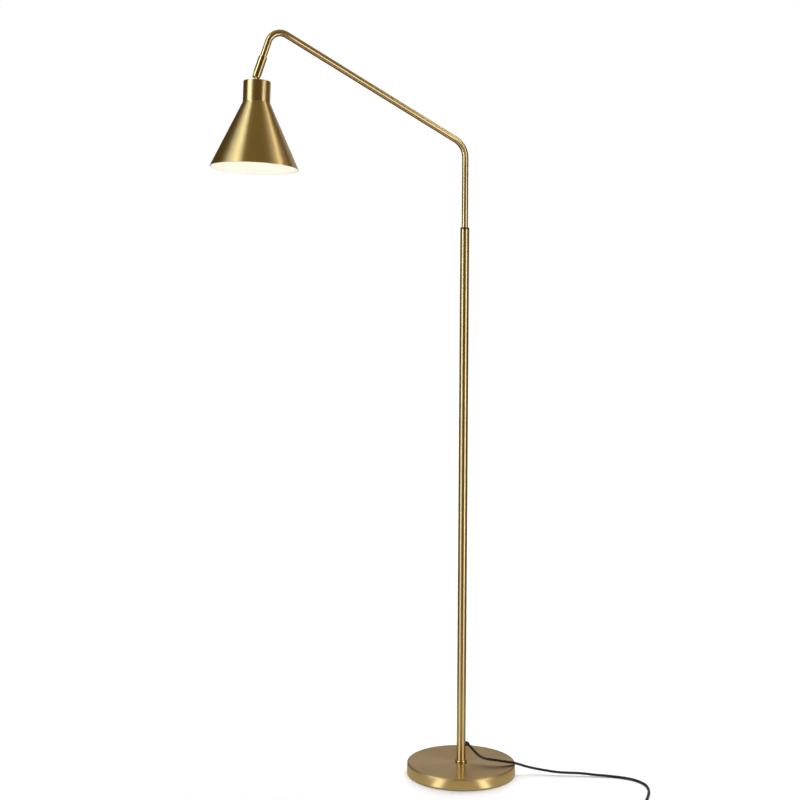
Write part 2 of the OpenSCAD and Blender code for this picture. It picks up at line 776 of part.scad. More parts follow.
module coil_tie() {
    // The tie crosses the turns half a turn after the coil starts
    out_r = coil_r - coil_pitch / 2;
    in_w = out_r - coil_in_r + cord_d + 1.8;
    in_h = coil_pitch + cord_d + 1.2;
    mid_r = (out_r + coil_in_r) / 2;
    color(white) translate([coil_centre[0], coil_centre[1] + mid_r, 0]) difference() {
        translate([-tie_w / 2, -in_w / 2 - tie_t, 0]) cube([tie_w, in_w + 2 * tie_t, in_h + 2 * tie_t]);
        translate([-tie_w, -in_w / 2, tie_t]) cube([2 * tie_w, in_w, in_h]);
    }
}

// Frame of the plug: origin at the end of its tail on the floor, pins along +X
module at_plug() {
    translate([plug_tail_x, switch_y, 0]) rotate([0, 0, 180]) children();
}

module plug_body() {
    waist = plug_w * 0.3;
    color(black) at_plug() difference() {
        union() {
            translate([0, 0, plug_axis]) rotate([0, 90, 0])
                cylinder(r1 = tail_r, r2 = plug_t * 0.42, h = tail_l + cut);
            translate([tail_l, 0, 0]) linear_extrude(height = plug_t) polygon([
                [0, -waist], [plug_l * 0.55, -plug_w / 2], [plug_l, -plug_w / 2],
                [plug_l, plug_w / 2], [plug_l * 0.55, plug_w / 2], [0, waist]]);
        }
        for (y = [-1, 1]) translate([tail_l + plug_l / 2, y * pin_gap / 2, plug_axis]) rotate([0, 90, 0])
            cylinder(r = pin_root_r, h = plug_l);
    }
}

module plug_pins() {
    color(steel) at_plug() for (y = [-1, 1]) translate([tail_l + plug_l / 2, y * pin_gap / 2, plug_axis])
        rotate([0, 90, 0]) {
            cylinder(r = pin_root_r, h = plug_l / 2);
            translate([0, 0, plug_l / 2]) cylinder(r = pin_d / 2, h = pin_len - pin_d / 2);
            translate([0, 0, plug_l / 2 + pin_len - pin_d / 2]) sphere(r = pin_d / 2);
        }
}

module rounded_plate(l, w, r, h) {
    linear_extrude(height = h) {
        square([l - 2 * r, w], center = true);
        square([l, w - 2 * r], center = true);
        for (x = [-1, 1], y = [-1, 1]) translate([x * (l / 2 - r), y * (w / 2 - r)]) circle(r = r);
    }
}

module at_switch() {
    translate(switch_mid) children();
}

module at_screws() {
    for (s = [-1, 1]) translate([s * screw_x, s * screw_y, 0]) children();
}

module lead_holes() {
    translate([0, 0, switch_low_h]) rotate([0, 90, 0])
        cylinder(r = cord_r + free_gap, h = 2 * switch_l, center = true);
}

module switch_lower_case() {
    in_r = switch_corner_r - switch_wall;
    color(black) at_switch() difference() {
        union() {
            difference() {
                rounded_plate(switch_l, switch_w, switch_corner_r, switch_low_h);
                translate([0, 0, switch_wall])
                    rounded_plate(switch_l - 2 * switch_wall, switch_w - 2 * switch_wall, in_r, switch_low_h);
            }
            at_screws() cylinder(r = screw_boss_r, h = switch_low_h);
        }
        lead_holes();
        at_screws() {
            translate([0, 0, -cut]) cylinder(r = screw_r + loose_gap, h = switch_low_h + 2 * cut);
            translate([0, 0, -cut])
                cylinder(r = screw_head_r + loose_gap, h = screw_sink + screw_head_t + cut);
        }
    }
}

module switch_upper_case() {
    in_r = switch_corner_r - switch_wall;
    color(black) at_switch() difference() {
        union() {
            difference() {
                translate([0, 0, switch_low_h])
                    rounded_plate(switch_l, switch_w, switch_corner_r, switch_up_h);
                translate([0, 0, switch_low_h - cut]) rounded_plate(switch_l - 2 * switch_wall,
                    switch_w - 2 * switch_wall, in_r, switch_up_h - switch_wall + cut);
            }
            at_screws() translate([0, 0, switch_low_h])
                cylinder(r = screw_boss_r, h = switch_up_h - switch_wall);
        }
        lead_holes();
        translate([0, 0, switch_low_h]) cylinder(r = button_r + free_gap, h = switch_h);
        at_screws() translate([0, 0, switch_low_h - cut])
            cylinder(r = screw_r, h = screw_sink + screw_head_t + screw_len - switch_low_h + cut);
    }
}

module switch_contacts() {
    inner_l = switch_l - 2 * post_in;
    color(white) at_switch() {
        translate([-inner_l / 2, -carrier_w / 2, switch_wall]) cube([inner_l, carrier_w, switch_wall]);
        for (x = [-inner_l / 2, inner_l / 2 - post_t])
            translate([x, -carrier_w / 2, switch_wall]) cube([post_t, carrier_w, post_h - switch_wall]);
    }
}

module switch_screws() {
    color(steel) at_switch() at_screws() {
        translate([0, 0, screw_sink]) cylinder(r = screw_head_r, h = screw_head_t);
        translate([0, 0, screw_sink + screw_head_t]) cylinder(r = screw_r, h = screw_len);
    }
}

module switch_spring() {
    color(steel) swept_tube(spring_path, spring_wire_d / 2, 6);
}

module switch_button() {
    color(black) at_switch() {
        translate([0, 0, button_flange_z]) cylinder(r = button_flange_r, h = button_flange_t);
        translate([0, 0, button_flange_z])
            cylinder(r = button_r, h = switch_h + button_h - button_bevel - button_flange_z);
        translate([0, 0, switch_h + button_h - button_bevel])
            cylinder(r1 = button_r, r2 = button_r - button_bevel, h = button_bevel);
        translate([0, 0, plunger_z]) cylinder(r = plunger_r, h = button_flange_z - plunger_z);
    }
}

base_shell();
base_weight();
base_pad();
pole_bolt();
bolt_washer();
foot_insert();
foot_collar();
pole_tube();
upper_bush();
lower_bush();
cord_grommet();
pole_cable();
arm_tube();
arm_stop_pin();
arm_cable();
arm_end_insert();
swivel_nipple();
friction_washer();
thrust_washer();
knuckle_sleeve();
ball_seat();
ball_stud();
stem_nut();
shade();
holder_cap();
holder_skirt();
contact_carrier();
screw_shell();
centre_contact();
lamp_leads();
bulb_cap();
bulb_glass();
cord_run();
cord_coil();
coil_tie();
plug_body();
plug_pins();
switch_lower_case();
switch_upper_case();
switch_contacts();
switch_screws();
switch_spring();
switch_button();
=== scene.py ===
"""Looks of a brass floor lamp with a swing arm and a tilting cone shade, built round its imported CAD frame."""

from __future__ import annotations

import logging
import math
from collections.abc import Sequence
from dataclasses import dataclass, field
from enum import Enum
from typing import Any

import bmesh
import bpy
from mathutils import Matrix, Vector


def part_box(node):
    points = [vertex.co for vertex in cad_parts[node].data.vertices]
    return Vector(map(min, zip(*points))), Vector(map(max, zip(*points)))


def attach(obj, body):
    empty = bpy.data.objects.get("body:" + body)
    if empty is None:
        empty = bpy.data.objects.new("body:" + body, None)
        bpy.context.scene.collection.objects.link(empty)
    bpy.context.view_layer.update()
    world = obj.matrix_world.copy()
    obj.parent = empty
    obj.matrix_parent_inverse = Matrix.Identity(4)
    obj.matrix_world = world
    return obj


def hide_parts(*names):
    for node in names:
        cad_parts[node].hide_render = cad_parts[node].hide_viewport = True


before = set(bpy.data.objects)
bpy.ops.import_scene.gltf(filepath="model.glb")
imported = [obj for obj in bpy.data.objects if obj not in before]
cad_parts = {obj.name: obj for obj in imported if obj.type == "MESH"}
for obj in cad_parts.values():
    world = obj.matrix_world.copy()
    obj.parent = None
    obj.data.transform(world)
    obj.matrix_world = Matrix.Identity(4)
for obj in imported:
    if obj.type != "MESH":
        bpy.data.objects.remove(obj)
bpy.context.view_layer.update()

MM = 0.001
CREASE = math.radians(40.0)
log = logging.getLogger("floor_lamp")

Colour = tuple[float, float, float]
Flat = tuple[float, float]
Spot = tuple[float, float, float]
Ring = list[Vector]


class Body(Enum):
    """Bodies of the frame that the pieces made here ride on."""

    STAND = "stand"
    ARM = "arm"
    HEAD = "head"
    BUTTON = "button"


class Slot(Enum):
    """Material slots of the record, which are passed along with the pieces made here."""

    BRUSHED_BRASS = "brushed_brass"
    FELT = "felt"
    BLACK_PLASTIC = "black_plastic"
    CORD_RUBBER = "cord_rubber"
    WHITE_PLASTIC = "white_plastic"
    FROSTED_GLASS = "frosted_glass"


# Shader tools


class Wire:
    """A shader socket that sums can be written with: each sum adds a Math node."""

    def __init__(self, recipe: Recipe, socket: bpy.types.NodeSocket) -> None:
        """Keeps the recipe and the socket."""
        self.recipe = recipe
        self.socket = socket

    def also(self, name: str) -> Wire:
        """Another output of the same node."""
        return Wire(self.recipe, self.socket.node.outputs[name])

    def maths(self, operation: str, first: Any, second: Any, clamp: bool = False) -> Wire:
        """A Math node on two values.

        Args:
            operation: the node's operation.
            first: its first value, a number or a wire.
            second: its second value.
            clamp: whether the result is kept between 0 and 1.

        Returns:
            The node's result.
        """
        return self.recipe.node("Math", {"operation": operation, "use_clamp": clamp}, {0: first, 1: second})

    def clamped(self) -> Wire:
        """The value kept between 0 and 1."""
        return self.maths("ADD", self, 0.0, clamp=True)

    def __add__(self, other: Any) -> Wire:
        """Sum."""
        return self.maths("ADD", self, other)

    __radd__ = __add__

    def __sub__(self, other: Any) -> Wire:
        """Difference."""
        return self.maths("SUBTRACT", self, other)

    def __rsub__(self, other: Any) -> Wire:
        """Difference from a number."""
        return self.maths("SUBTRACT", other, self)

    def __mul__(self, other: Any) -> Wire:
        """Product."""
        return self.maths("MULTIPLY", self, other)

    __rmul__ = __mul__

    def __truediv__(self, other: Any) -> Wire:
        """Quotient."""
        return self.maths("DIVIDE", self, other)

    def __rtruediv__(self, other: Any) -> Wire:
        """Quotient of a number."""
        return self.maths("DIVIDE", other, self)

    def __pow__(self, other: Any) -> Wire:
        """Power."""
        return self.maths("POWER", self, other)

    def __rpow__(self, other: Any) -> Wire:
        """Power of a number."""
        return self.maths("POWER", other, self)

    def __or__(self, other: Any) -> Wire:
        """The larger of two values."""
        return self.maths("MAXIMUM", self, other)

    __ror__ = __or__


class Recipe:
    """A node tree that is filled node by node."""

    def __init__(self, tree: bpy.types.NodeTree) -> None:
        """Clears the tree."""
        self.tree = tree
        tree.nodes.clear()

    def node(self, kind: str, settings: dict[str, Any] | None = None, inputs: dict[Any, Any] | None = None,
             out: str | int = 0) -> Wire:
        """Adds any node.

        Args:
            kind: the node's type, without ShaderNode.
            settings: its settings, which are set first.
            inputs: numbers, colours or wires of its sockets, by name or place.
            out: the output that is returned.

        Returns:
            The output as a wire.
        """
        made = self.tree.nodes.new("ShaderNode" + kind)
        for name, value in (settings or {}).items():
            setattr(made, name, value)
        for key, value in (inputs or {}).items():
            if isinstance(value, Wire):
                self.tree.links.new(value.socket, made.inputs[key])
            else:
                socket = made.inputs[key]
                is_colour = socket.type == "RGBA" and len(value) == 3
                socket.default_value = (*value, 1.0) if is_colour else value
        outputs = made.outputs
        return Wire(self, outputs[out]) if len(outputs) else Wire(self, made.inputs[0])

    def mixed(self, share: Any, first: Any, second: Any) -> Wire:
        """A colour between two colours."""
        return self.node("Mix", {"data_type": "RGBA"}, {0: share, 6: first, 7: second}, 2)

    def noise(self, vector: Wire, scale: float, detail: float = 2.0) -> Wire:
        """Soft noise over a vector, about 0 to 1."""
        return self.node("TexNoise", None, {"Vector": vector, "Scale": scale, "Detail": detail}, 0)

    def bump(self, height: Wire, depth: float, strength: float) -> Wire:
        """A normal from a height, which is in metres at its full depth."""
        return self.node("Bump", None, {"Height": height, "Distance": depth, "Strength": strength})

    def object_place(self) -> Wire:
        """Place in the piece's own frame, in metres."""
        return self.node("TexCoord", None, None, "Object")

    def surface(self, **inputs: Any) -> None:
        """Ends the tree in a Principled shader, whose socket names are written with _ for a space."""
        named = {name.replace("_", " "): value for name, value in inputs.items()}
        shader = self.node("BsdfPrincipled", None, named)
        self.node("OutputMaterial", None, {"Surface": shader})


def fresh_material(name: str) -> tuple[bpy.types.Material, Recipe]:
    """Makes a material with an empty node tree.

    Args:
        name: its name.

    Returns:
        The material, and the recipe for its tree.
    """
    made = bpy.data.materials.new(name)
    made.use_nodes = True
    return made, Recipe(made.node_tree)


class Finish:
    """What every finish has: a name, and a material that is made once."""

    name: str

    def material(self) -> bpy.types.Material:
        """Makes the finish's material the first time it is asked for.

        Returns:
            The material.
        """
        made = bpy.data.materials.get(self.name)
        if made is None:
            made, recipe = fresh_material(self.name)
            self.fill(recipe)
        return made

    def fill(self, recipe: Recipe) -> None:
        """Fills the material's node tree."""
        raise NotImplementedError


@dataclass(frozen=True)
class SpunBrass(Finish):
    """Brass brushed round the piece's own Z axis, with fine rings.

    Each marked edge is a radius and a height in metres, near which the brass has another tone and another gloss: wear
    on the shade's edges, painted shade at the upright's top edge and a painted highlight on the base's rim.
    """

    name: str
    tone: Colour = (0.84, 0.66, 0.33)
    deep: Colour = (0.74, 0.55, 0.24)
    roughness: float = 0.38
    anisotropy: float = 0.9
    rings_per_m: float = 1500.0
    broad_rings_per_m: float = 90.0
    clouds_per_m: float = 22.0
    ring_depth: float = 0.00002
    slant: float = 0.7
    ring_stretch: float = 2.5
    broad_stretch: float = 1.2
    ring_tone: float = 0.45
    broad_tone: float = 0.35
    cloud_tone: float = 0.5
    tone_shift: float = 0.2
    cloud_gloss: float = 0.12
    rotation: float = 0.25
    relief: float = 0.25
    streak: float = 0.16
    # Edge marks: wear on the shade's edges, painted shade at the upright's top edge, a painted highlight on the
    # base's rim.
    wear_and_painted_edges: tuple[Flat, ...] = ()
    edge_mark_width: float = 0.0016
    edge_mark_polish: float = 0.12
    edge_mark_tone: Colour = (0.93, 0.78, 0.47)
    edge_mark_share: float = 0.8

    def grain(self, recipe: Recipe, x: Wire, z: Wire, radius: Wire, rings_per_m: float, across: float) -> Wire:
        """A vector for noise that is stretched along the brushing.

        Args:
            recipe: the tree.
            x: place along X, whose node also has Y.
            z: place along Z.
            radius: distance from the Z axis.
            rings_per_m: how close the rings are.
            across: how fast the noise changes along a ring.

        Returns:
            The vector: rings follow the radius and the height together, so that they go round flats, cones and
            tubes alike.
        """
        y = x.also("Y")
        along = z - radius * self.slant
        return recipe.node("CombineXYZ", None, {
            0: x / radius * across, 1: y / radius * across, 2: along * rings_per_m})

    def fill(self, recipe: Recipe) -> None:
        """Fine and broad rings, and slow clouds of tone.

        Args:
            recipe: the tree.
        """
        place = recipe.object_place()
        x = recipe.node("SeparateXYZ", None, {0: place})
        y, z = x.also("Y"), x.also("Z")
        radius = (x * x + y * y) ** 0.5
        rings = recipe.noise(self.grain(recipe, x, z, radius, self.rings_per_m, self.ring_stretch), 1.0, 3.0)
        broad = recipe.noise(self.grain(recipe, x, z, radius, self.broad_rings_per_m, self.broad_stretch), 1.0)
        clouds = recipe.noise(place, self.clouds_per_m, 3.0)
        mottle = rings * self.ring_tone + broad * self.broad_tone + clouds * self.cloud_tone
        shade = (mottle - self.tone_shift).clamped()
        rough = (rings - 0.5) * self.streak + (clouds - 0.5) * self.cloud_gloss + self.roughness
        colour = recipe.mixed(shade, self.tone, self.deep)
        # Each edge mark mixes another tone and gloss into the brass: wear, painted shade or a painted highlight, as
        # its piece sets.
        for edge_radius, edge_height in self.wear_and_painted_edges:
            out, up = radius - edge_radius, z - edge_height
            near = (1.0 - (out * out + up * up) / self.edge_mark_width ** 2).clamped() * clouds
            colour = recipe.mixed((near * self.edge_mark_share).clamped(), colour, self.edge_mark_tone)
            rough = rough - near * self.edge_mark_polish
        recipe.surface(
            Base_Color=colour, Metallic=1.0, Roughness=rough, Anisotropic=self.anisotropy,
            Anisotropic_Rotation=self.rotation, Normal=recipe.bump(rings, self.ring_depth, self.relief))


@dataclass(frozen=True)
class BentBrass(SpunBrass):
    """Brass of a bent tube, brushed round the tube, in a frame whose Z is the bend's axis."""

    rotation: float = 0.0
    bend_radius: float = 0.04
    grain_per_m: float = 120.0

    def grain(self, recipe: Recipe, x: Wire, z: Wire, radius: Wire, rings_per_m: float, across: float) -> Wire:
        """A vector whose rings follow the bend's angle, so that they go round the tube.

        Args:
            recipe: the tree.
            x: place along X, whose node also has Y.
            z: place along the bend's axis.
            radius: distance from that axis.
            rings_per_m: how close the rings are.
            across: how fast the noise changes along a ring.

        Returns:
            The vector.
        """
        turn = self.bend_radius * rings_per_m
        return recipe.node("CombineXYZ", None, {
            0: x / radius * turn, 1: x.also("Y") / radius * turn, 2: (z + radius) * across * self.grain_per_m})


@dataclass(frozen=True)
class Grained(Finish):
    """A material with a fine grain over slow clouds: both change its tone and its gloss, and the grain its height."""

    name: str
    tone: Colour
    deep: Colour
    roughness: float
    metallic: float = 0.0
    grain_per_m: float = 900.0
    depth: float = 0.00004
    relief: float = 0.4
    grain_detail: float = 2.0
    grain_tone: float = 0.0
    grain_gloss: float = 0.0
    clouds_per_m: float = 40.0
    cloud_detail: float = 2.0
    cloud_tone: float = 0.0
    cloud_gloss: float = 0.0
    tone_shift: float = 0.0
    sheen: float = 0.0
    # Painted glow: emission that stands in for light falling on the surface, none unless a finish sets it.
    glow: Colour = (1.0, 1.0, 1.0)
    painted_glow_strength: float = 0.0

    def fill(self, recipe: Recipe) -> None:
        """Grain and clouds in tone and gloss, and grain in height.

        Args:
            recipe: the tree.
        """
        place = recipe.object_place()
        grain = recipe.noise(place, self.grain_per_m, self.grain_detail)
        clouds = recipe.noise(place, self.clouds_per_m, self.cloud_detail)
        shade = (grain * self.grain_tone + clouds * self.cloud_tone - self.tone_shift).clamped()
        rough = (grain - 0.5) * self.grain_gloss + (clouds - 0.5) * self.cloud_gloss + self.roughness
        # The emission here is the painted glow.
        recipe.surface(
            Base_Color=recipe.mixed(shade, self.tone, self.deep), Metallic=self.metallic, Roughness=rough,
            Normal=recipe.bump(grain, self.depth, self.relief), Sheen_Weight=self.sheen,
            Emission_Color=self.glow, Emission_Strength=self.painted_glow_strength)


@dataclass(frozen=True)
class SatinBrass(Grained):
    """Brass rubbed in all directions, for cut pieces."""

    tone: Colour = (0.84, 0.66, 0.33)
    deep: Colour = (0.74, 0.55, 0.24)
    roughness: float = 0.24
    metallic: float = 1.0
    grain_per_m: float = 700.0
    depth: float = 0.000002
    relief: float = 0.05
    grain_tone: float = 0.2
    grain_gloss: float = 0.03
    clouds_per_m: float = 26.0
    cloud_detail: float = 3.0
    cloud_tone: float = 0.6
    cloud_gloss: float = 0.08
    tone_shift: float = 0.1


@dataclass(frozen=True)
class PlainMetal(Grained):
    """Plated or cast metal of small inner pieces."""

    metallic: float = 1.0
    grain_detail: float = 4.0
    grain_tone: float = 0.6
    grain_gloss: float = 0.2
    cloud_tone: float = 0.5
    tone_shift: float = 0.05


@dataclass(frozen=True)
class Moulded(Grained):
    """Moulded plastic or rubber with a fine spark-eroded grain, and dust for clouds."""

    grain_per_m: float = 1600.0
    depth: float = 0.00006
    relief: float = 0.35
    grain_gloss: float = 0.15
    clouds_per_m: float = 60.0
    cloud_detail: float = 4.0
    cloud_tone: float = 1.4
    cloud_gloss: float = 0.1
    tone_shift: float = 0.45


@dataclass(frozen=True)
class Felted(Grained):
    """Pressed felt, with short fibres for grain."""

    roughness: float = 0.95
    grain_per_m: float = 1400.0
    depth: float = 0.0004
    relief: float = 0.6
    grain_detail: float = 6.0
    grain_tone: float = 1.5
    tone_shift: float = 0.3
    sheen: float = 0.3


@dataclass(frozen=True)
class Enamel(Grained):
    """White stove enamel inside the shade, with a slight orange peel for grain, and a painted glow that stands in for
    the bulb's light on it.
    """

    tone: Colour = (0.82, 0.80, 0.70)
    deep: Colour = (0.7708, 0.752, 0.658)
    roughness: float = 0.45
    grain_per_m: float = 500.0
    depth: float = 0.0001
    relief: float = 0.3
    grain_gloss: float = 0.1
    clouds_per_m: float = 30.0
    cloud_tone: float = 0.5
    # Painted glow of the bulb's light on the enamel.
    glow: Colour = (1.0, 0.975, 0.75)
    painted_glow_strength: float = 0.165


@dataclass(frozen=True)
class LitOpal(Finish):
    """Opal glass of a bulb that is on."""

    name: str
    tone: Colour = (0.93, 0.92, 0.88)
    middle: Colour = (1.0, 0.96, 0.76)
    neck: Colour = (1.0, 0.80, 0.45)
    strength: float = 0.80
    neck_height: float = 0.0
    fade: float = 0.03
    roughness: float = 0.35
    frost_per_m: float = 900.0
    frost_gloss: float = 0.1
    depth: float = 0.00003
    relief: float = 0.2

    def fill(self, recipe: Recipe) -> None:
        """The globe is brightest in the middle and warmer towards its neck.

        Args:
            recipe: the tree.
        """
        place = recipe.object_place()
        z = recipe.node("SeparateXYZ", None, {0: place}).also("Z")
        near_neck = (1.0 - (self.neck_height - z) / self.fade).clamped()
        frost = recipe.noise(place, self.frost_per_m)
        recipe.surface(
            Base_Color=self.tone, Roughness=(frost - 0.5) * self.frost_gloss + self.roughness,
            Emission_Color=recipe.mixed(near_neck, self.middle, self.neck), Emission_Strength=self.strength,
            Normal=recipe.bump(frost, self.depth, self.relief))


TUBE_GLOSS: dict[str, float] = {"roughness": 0.27, "anisotropy": 0.35, "relief": 0.01, "streak": 0.02}
ARM_BRASS = SpunBrass("arm_brushed_brass", **TUBE_GLOSS)
LOW_BEND_BRASS = BentBrass("low_bend_brass", **TUBE_GLOSS, bend_radius=0.040)
TOP_BEND_BRASS = BentBrass("top_bend_brass", **TUBE_GLOSS, bend_radius=0.025)
KNUCKLE_BRASS = SatinBrass("knuckle_satin_brass", roughness=0.18)
CONTACT_BRASS = PlainMetal("turned_contact_brass", (0.80, 0.62, 0.30), (0.68, 0.48, 0.20), 0.3)
ZINC_STEEL = PlainMetal("zinc_plated_steel", (0.72, 0.73, 0.75), (0.55, 0.56, 0.58), 0.3)
RAW_CAST = PlainMetal(
    "raw_cast_iron", (0.09, 0.085, 0.08), (0.05, 0.047, 0.045), 0.65, metallic=0.6, grain_per_m=500.0, depth=0.0003)
BLACK_CASE = Moulded("black_moulded_case", (0.012, 0.0115, 0.011), (0.024, 0.023, 0.022), 0.48)
BLACK_LEAD = Moulded(
    "black_lead_rubber", (0.009, 0.0085, 0.008), (0.018, 0.017, 0.016), 0.42, grain_per_m=1100.0, depth=0.00004)
BLACK_STRAP = Moulded(
    "black_woven_strap", (0.014, 0.014, 0.014), (0.035, 0.034, 0.033), 0.8, grain_per_m=2200.0, depth=0.0002)
WHITE_CASE = Moulded("white_moulded_insulator", (0.80, 0.79, 0.75), (0.70, 0.68, 0.62), 0.45)
WHITE_SLEEVING = Moulded(
    "white_wire_sleeving", (0.82, 0.81, 0.78), (0.72, 0.70, 0.66), 0.5, grain_per_m=900.0)
GREY_FELT = Felted("dark_felt", (0.03, 0.029, 0.028), (0.07, 0.068, 0.066))

CARRIED: dict[Finish, tuple[str, ...]] = {
    KNUCKLE_BRASS: ("knuckle_sleeve", "ball_stud"),
    CONTACT_BRASS: ("arm_end_insert", "centre_contact"),
    ZINC_STEEL: (
        "pole_bolt", "bolt_washer", "foot_insert", "arm_stop_pin", "swivel_nipple", "friction_washer", "ball_seat",
        "stem_nut", "screw_shell", "bulb_cap", "plug_pins", "switch_screws", "switch_spring"),
    RAW_CAST: ("base_weight",),
    BLACK_CASE: ("upper_bush", "lower_bush", "holder_cap", "holder_skirt"),
    WHITE_CASE: ("thrust_washer", "contact_carrier", "switch_contacts"),
    WHITE_SLEEVING: ("pole_cable", "arm_cable", "lamp_leads"),
}


# Mesh tools


def meshed(name: str, points: Sequence[Vector], faces: Sequence[Sequence[int]]) -> bpy.types.Object:
    """Makes a smooth-shaded object of points and faces, on which edges that turn by more than CREASE stay sharp.

    Args:
        name: the piece's name.
        points: its points, in metres in its own frame.
        faces: its faces, as places in points.

    Returns:
        The object, in the scene.
    """
    mesh = bpy.data.meshes.new(name)
    mesh.from_pydata([tuple(p) for p in points], [], faces)
    work = bmesh.new()
    work.from_mesh(mesh)
    bmesh.ops.recalc_face_normals(work, faces=work.faces)
    work.to_mesh(mesh)
    work.free()
    mesh.shade_smooth()
    mesh.set_sharp_from_angle(angle=CREASE)
    made = bpy.data.objects.new(name, mesh)
    bpy.context.scene.collection.objects.link(made)
    return made


def lofted(name: str, rings: Sequence[Ring], closed: bool = False) -> bpy.types.Object:
    """Makes a skin through rings of points that have the same count.

    Args:
        name: the piece's name.
        rings: the rings in order.
        closed: whether the last ring joins the first; otherwise both ends get a cap.

    Returns:
        The object.
    """
    count = len(rings[0])
    points = [p for ring in rings for p in ring]
    faces: list[Sequence[int]] = []
    for i in range(len(rings) if closed else len(rings) - 1):
        low, high = i * count, (i + 1) % len(rings) * count
        faces += [(low + k, low + (k + 1) % count, high + (k + 1) % count, high + k) for k in range(count)]
    if not closed:
        faces += [tuple(reversed(range(count))), tuple(range(len(points) - count, len(points)))]
    return meshed(name, points, faces)


def turned(name: str, outline: Sequence[Flat], steps: int = 128, closed: bool = False) -> bpy.types.Object:
    """Makes a piece of revolution about its own Z axis.

    Args:
        name: the piece's name.
        outline: radius and height of its outline, in millimetres.
        steps: number of steps round the axis.
        closed: whether the outline joins its own start; otherwise it starts and ends on the axis.

    Returns:
        The object.
    """
    points: list[Vector] = []
    rings: list[list[int]] = []
    for radius, height in outline:
        turns = 1 if radius < 1e-6 else steps
        rings.append(list(range(len(points), len(points) + turns)))
        for k in range(turns):
            angle = math.tau * k / steps
            points.append(Vector((radius * math.cos(angle), radius * math.sin(angle), height)) * MM)
    pairs = list(zip(rings, rings[1:])) + ([(rings[-1], rings[0])] if closed else [])
    faces: list[Sequence[int]] = []
    for low, high in pairs:
        for k in range(steps):
            n = (k + 1) % steps
            corners = [low[k % len(low)], low[n % len(low)], high[n % len(high)], high[k % len(high)]]
            face = tuple(dict.fromkeys(corners))
            if len(face) > 2:
                faces.append(face)
    return meshed(name, points, faces)


def filleted(corners: Sequence[Spot], steps: int) -> list[Flat]:
    """Rounds the corners of an outline.

    Args:
        corners: x, y and fillet radius of each corner, which is 0 for the first and the last.
        steps: number of steps in a fillet.

    Returns:
        The outline's points.
    """
    outline: list[Flat] = []
    for i, (x, y, radius) in enumerate(corners):
        if radius <= 0:
            outline.append((x, y))
            continue
        here = Vector((x, y))
        back = (Vector(corners[i - 1][:2]) - here).normalized()
        ahead = (Vector(corners[i + 1][:2]) - here).normalized()
        half = back.angle(ahead) / 2
        centre = here + (back + ahead).normalized() * radius / math.sin(half)
        start = here + back * radius / math.tan(half) - centre
        end = here + ahead * radius / math.tan(half) - centre
        sweep = math.pi - 2 * half
        for k in range(steps + 1):
            t = k / steps
            spot = centre + (start * math.sin((1 - t) * sweep) + end * math.sin(t * sweep)) / math.sin(sweep)
            outline.append((spot.x, spot.y))
    return outline


def round_edge(radius: float, steps: int) -> list[Flat]:
    """Points of a quarter circle in a corner, as distances from the corner's two sides, from the first side on.

    Args:
        radius: the circle's radius.
        steps: number of steps.

    Returns:
        The points.
    """
    angles = [math.pi / 2 * k / steps for k in range(steps + 1)]
    return [(radius * (1 - math.cos(a)), radius * (1 - math.sin(a))) for a in angles]


def plate_ring(half_x: float, half_y: float, corner: float, steps: int = 8) -> list[Flat]:
    """Points of a rectangle with round corners, which is a circle where the halves equal the corner.

    Args:
        half_x: half of its width.
        half_y: half of its height.
        corner: radius of its corners.
        steps: number of steps in a corner.

    Returns:
        The points.
    """
    points: list[Flat] = []
    for quarter in range(4):
        sign_x, sign_y = ((1, 1), (-1, 1), (-1, -1), (1, -1))[quarter]
        for k in range(steps + 1):
            angle = math.radians(90 * (quarter + k / steps))
            points.append((
                sign_x * (half_x - corner) + corner * math.cos(angle),
                sign_y * (half_y - corner) + corner * math.sin(angle)))
    return points


def arc_ring(centre: Vector, across: Vector, up: Vector, radius: float, steps: int = 40) -> Ring:
    """A circle of points round a centre, in the plane of two directions."""
    return [centre + radius * (math.cos(math.tau * k / steps) * across + math.sin(math.tau * k / steps) * up)
            for k in range(steps)]


def swept(name: str, path: Sequence[Vector], radii: Sequence[float]) -> bpy.types.Object:
    """Makes a round bar along a path that lies in the plane of X and Z.

    Args:
        name: the piece's name.
        path: points of its centreline, in millimetres.
        radii: radius at each point.

    Returns:
        The object.
    """
    across = Vector((0, 1, 0))
    rings: list[Ring] = []
    for i, spot in enumerate(path):
        ahead = (path[min(i + 1, len(path) - 1)] - path[max(i - 1, 0)]).normalized()
        rings.append(arc_ring(spot * MM, across, ahead.cross(across), radii[i] * MM))
    return lofted(name, rings)


def smooth_route(points: Sequence[Vector], steps: int) -> list[Vector]:
    """A smooth line through points, straight between the first two.

    Args:
        points: the points, in millimetres.
        steps: number of steps between two points.

    Returns:
        The line's points.
    """
    line: list[Vector] = []
    last = len(points) - 1
    for i in range(last):
        a, b, c, d = points[max(i - 1, 0)], points[i], points[i + 1], points[min(i + 2, last)]
        for k in range(steps):
            t = k / steps
            if i == 0:
                line.append(b + (c - b) * t)
            else:
                line.append(0.5 * (2 * b + (c - a) * t + (2 * a - 5 * b + 4 * c - d) * t ** 2
                                   + (3 * b - a - 3 * c + d) * t ** 3))
    return line + [points[last]]


def ease(t: float) -> float:
    """A soft step from 0 to 1."""
    return (1 - math.cos(math.pi * min(max(t, 0.0), 1.0))) / 2


def place(piece: bpy.types.Object, body: Body, slot: Slot, finish: Finish, *replaced: str) -> bpy.types.Object:
    """Dresses a piece, sets it on its body and hides the CAD nodes that it stands for.

    Args:
        piece: the piece, where it belongs at rest.
        body: the body that it moves with.
        slot: not used.
        finish: its finish.
        replaced: CAD nodes that it stands for.

    Returns:
        The piece.
    """
    piece.data.materials.append(finish.material())
    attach(piece, body.value)
    if replaced:
        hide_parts(*replaced)
    log.info("piece %s rides on %s", piece.name, body.value)
    return piece


# Camera and studio


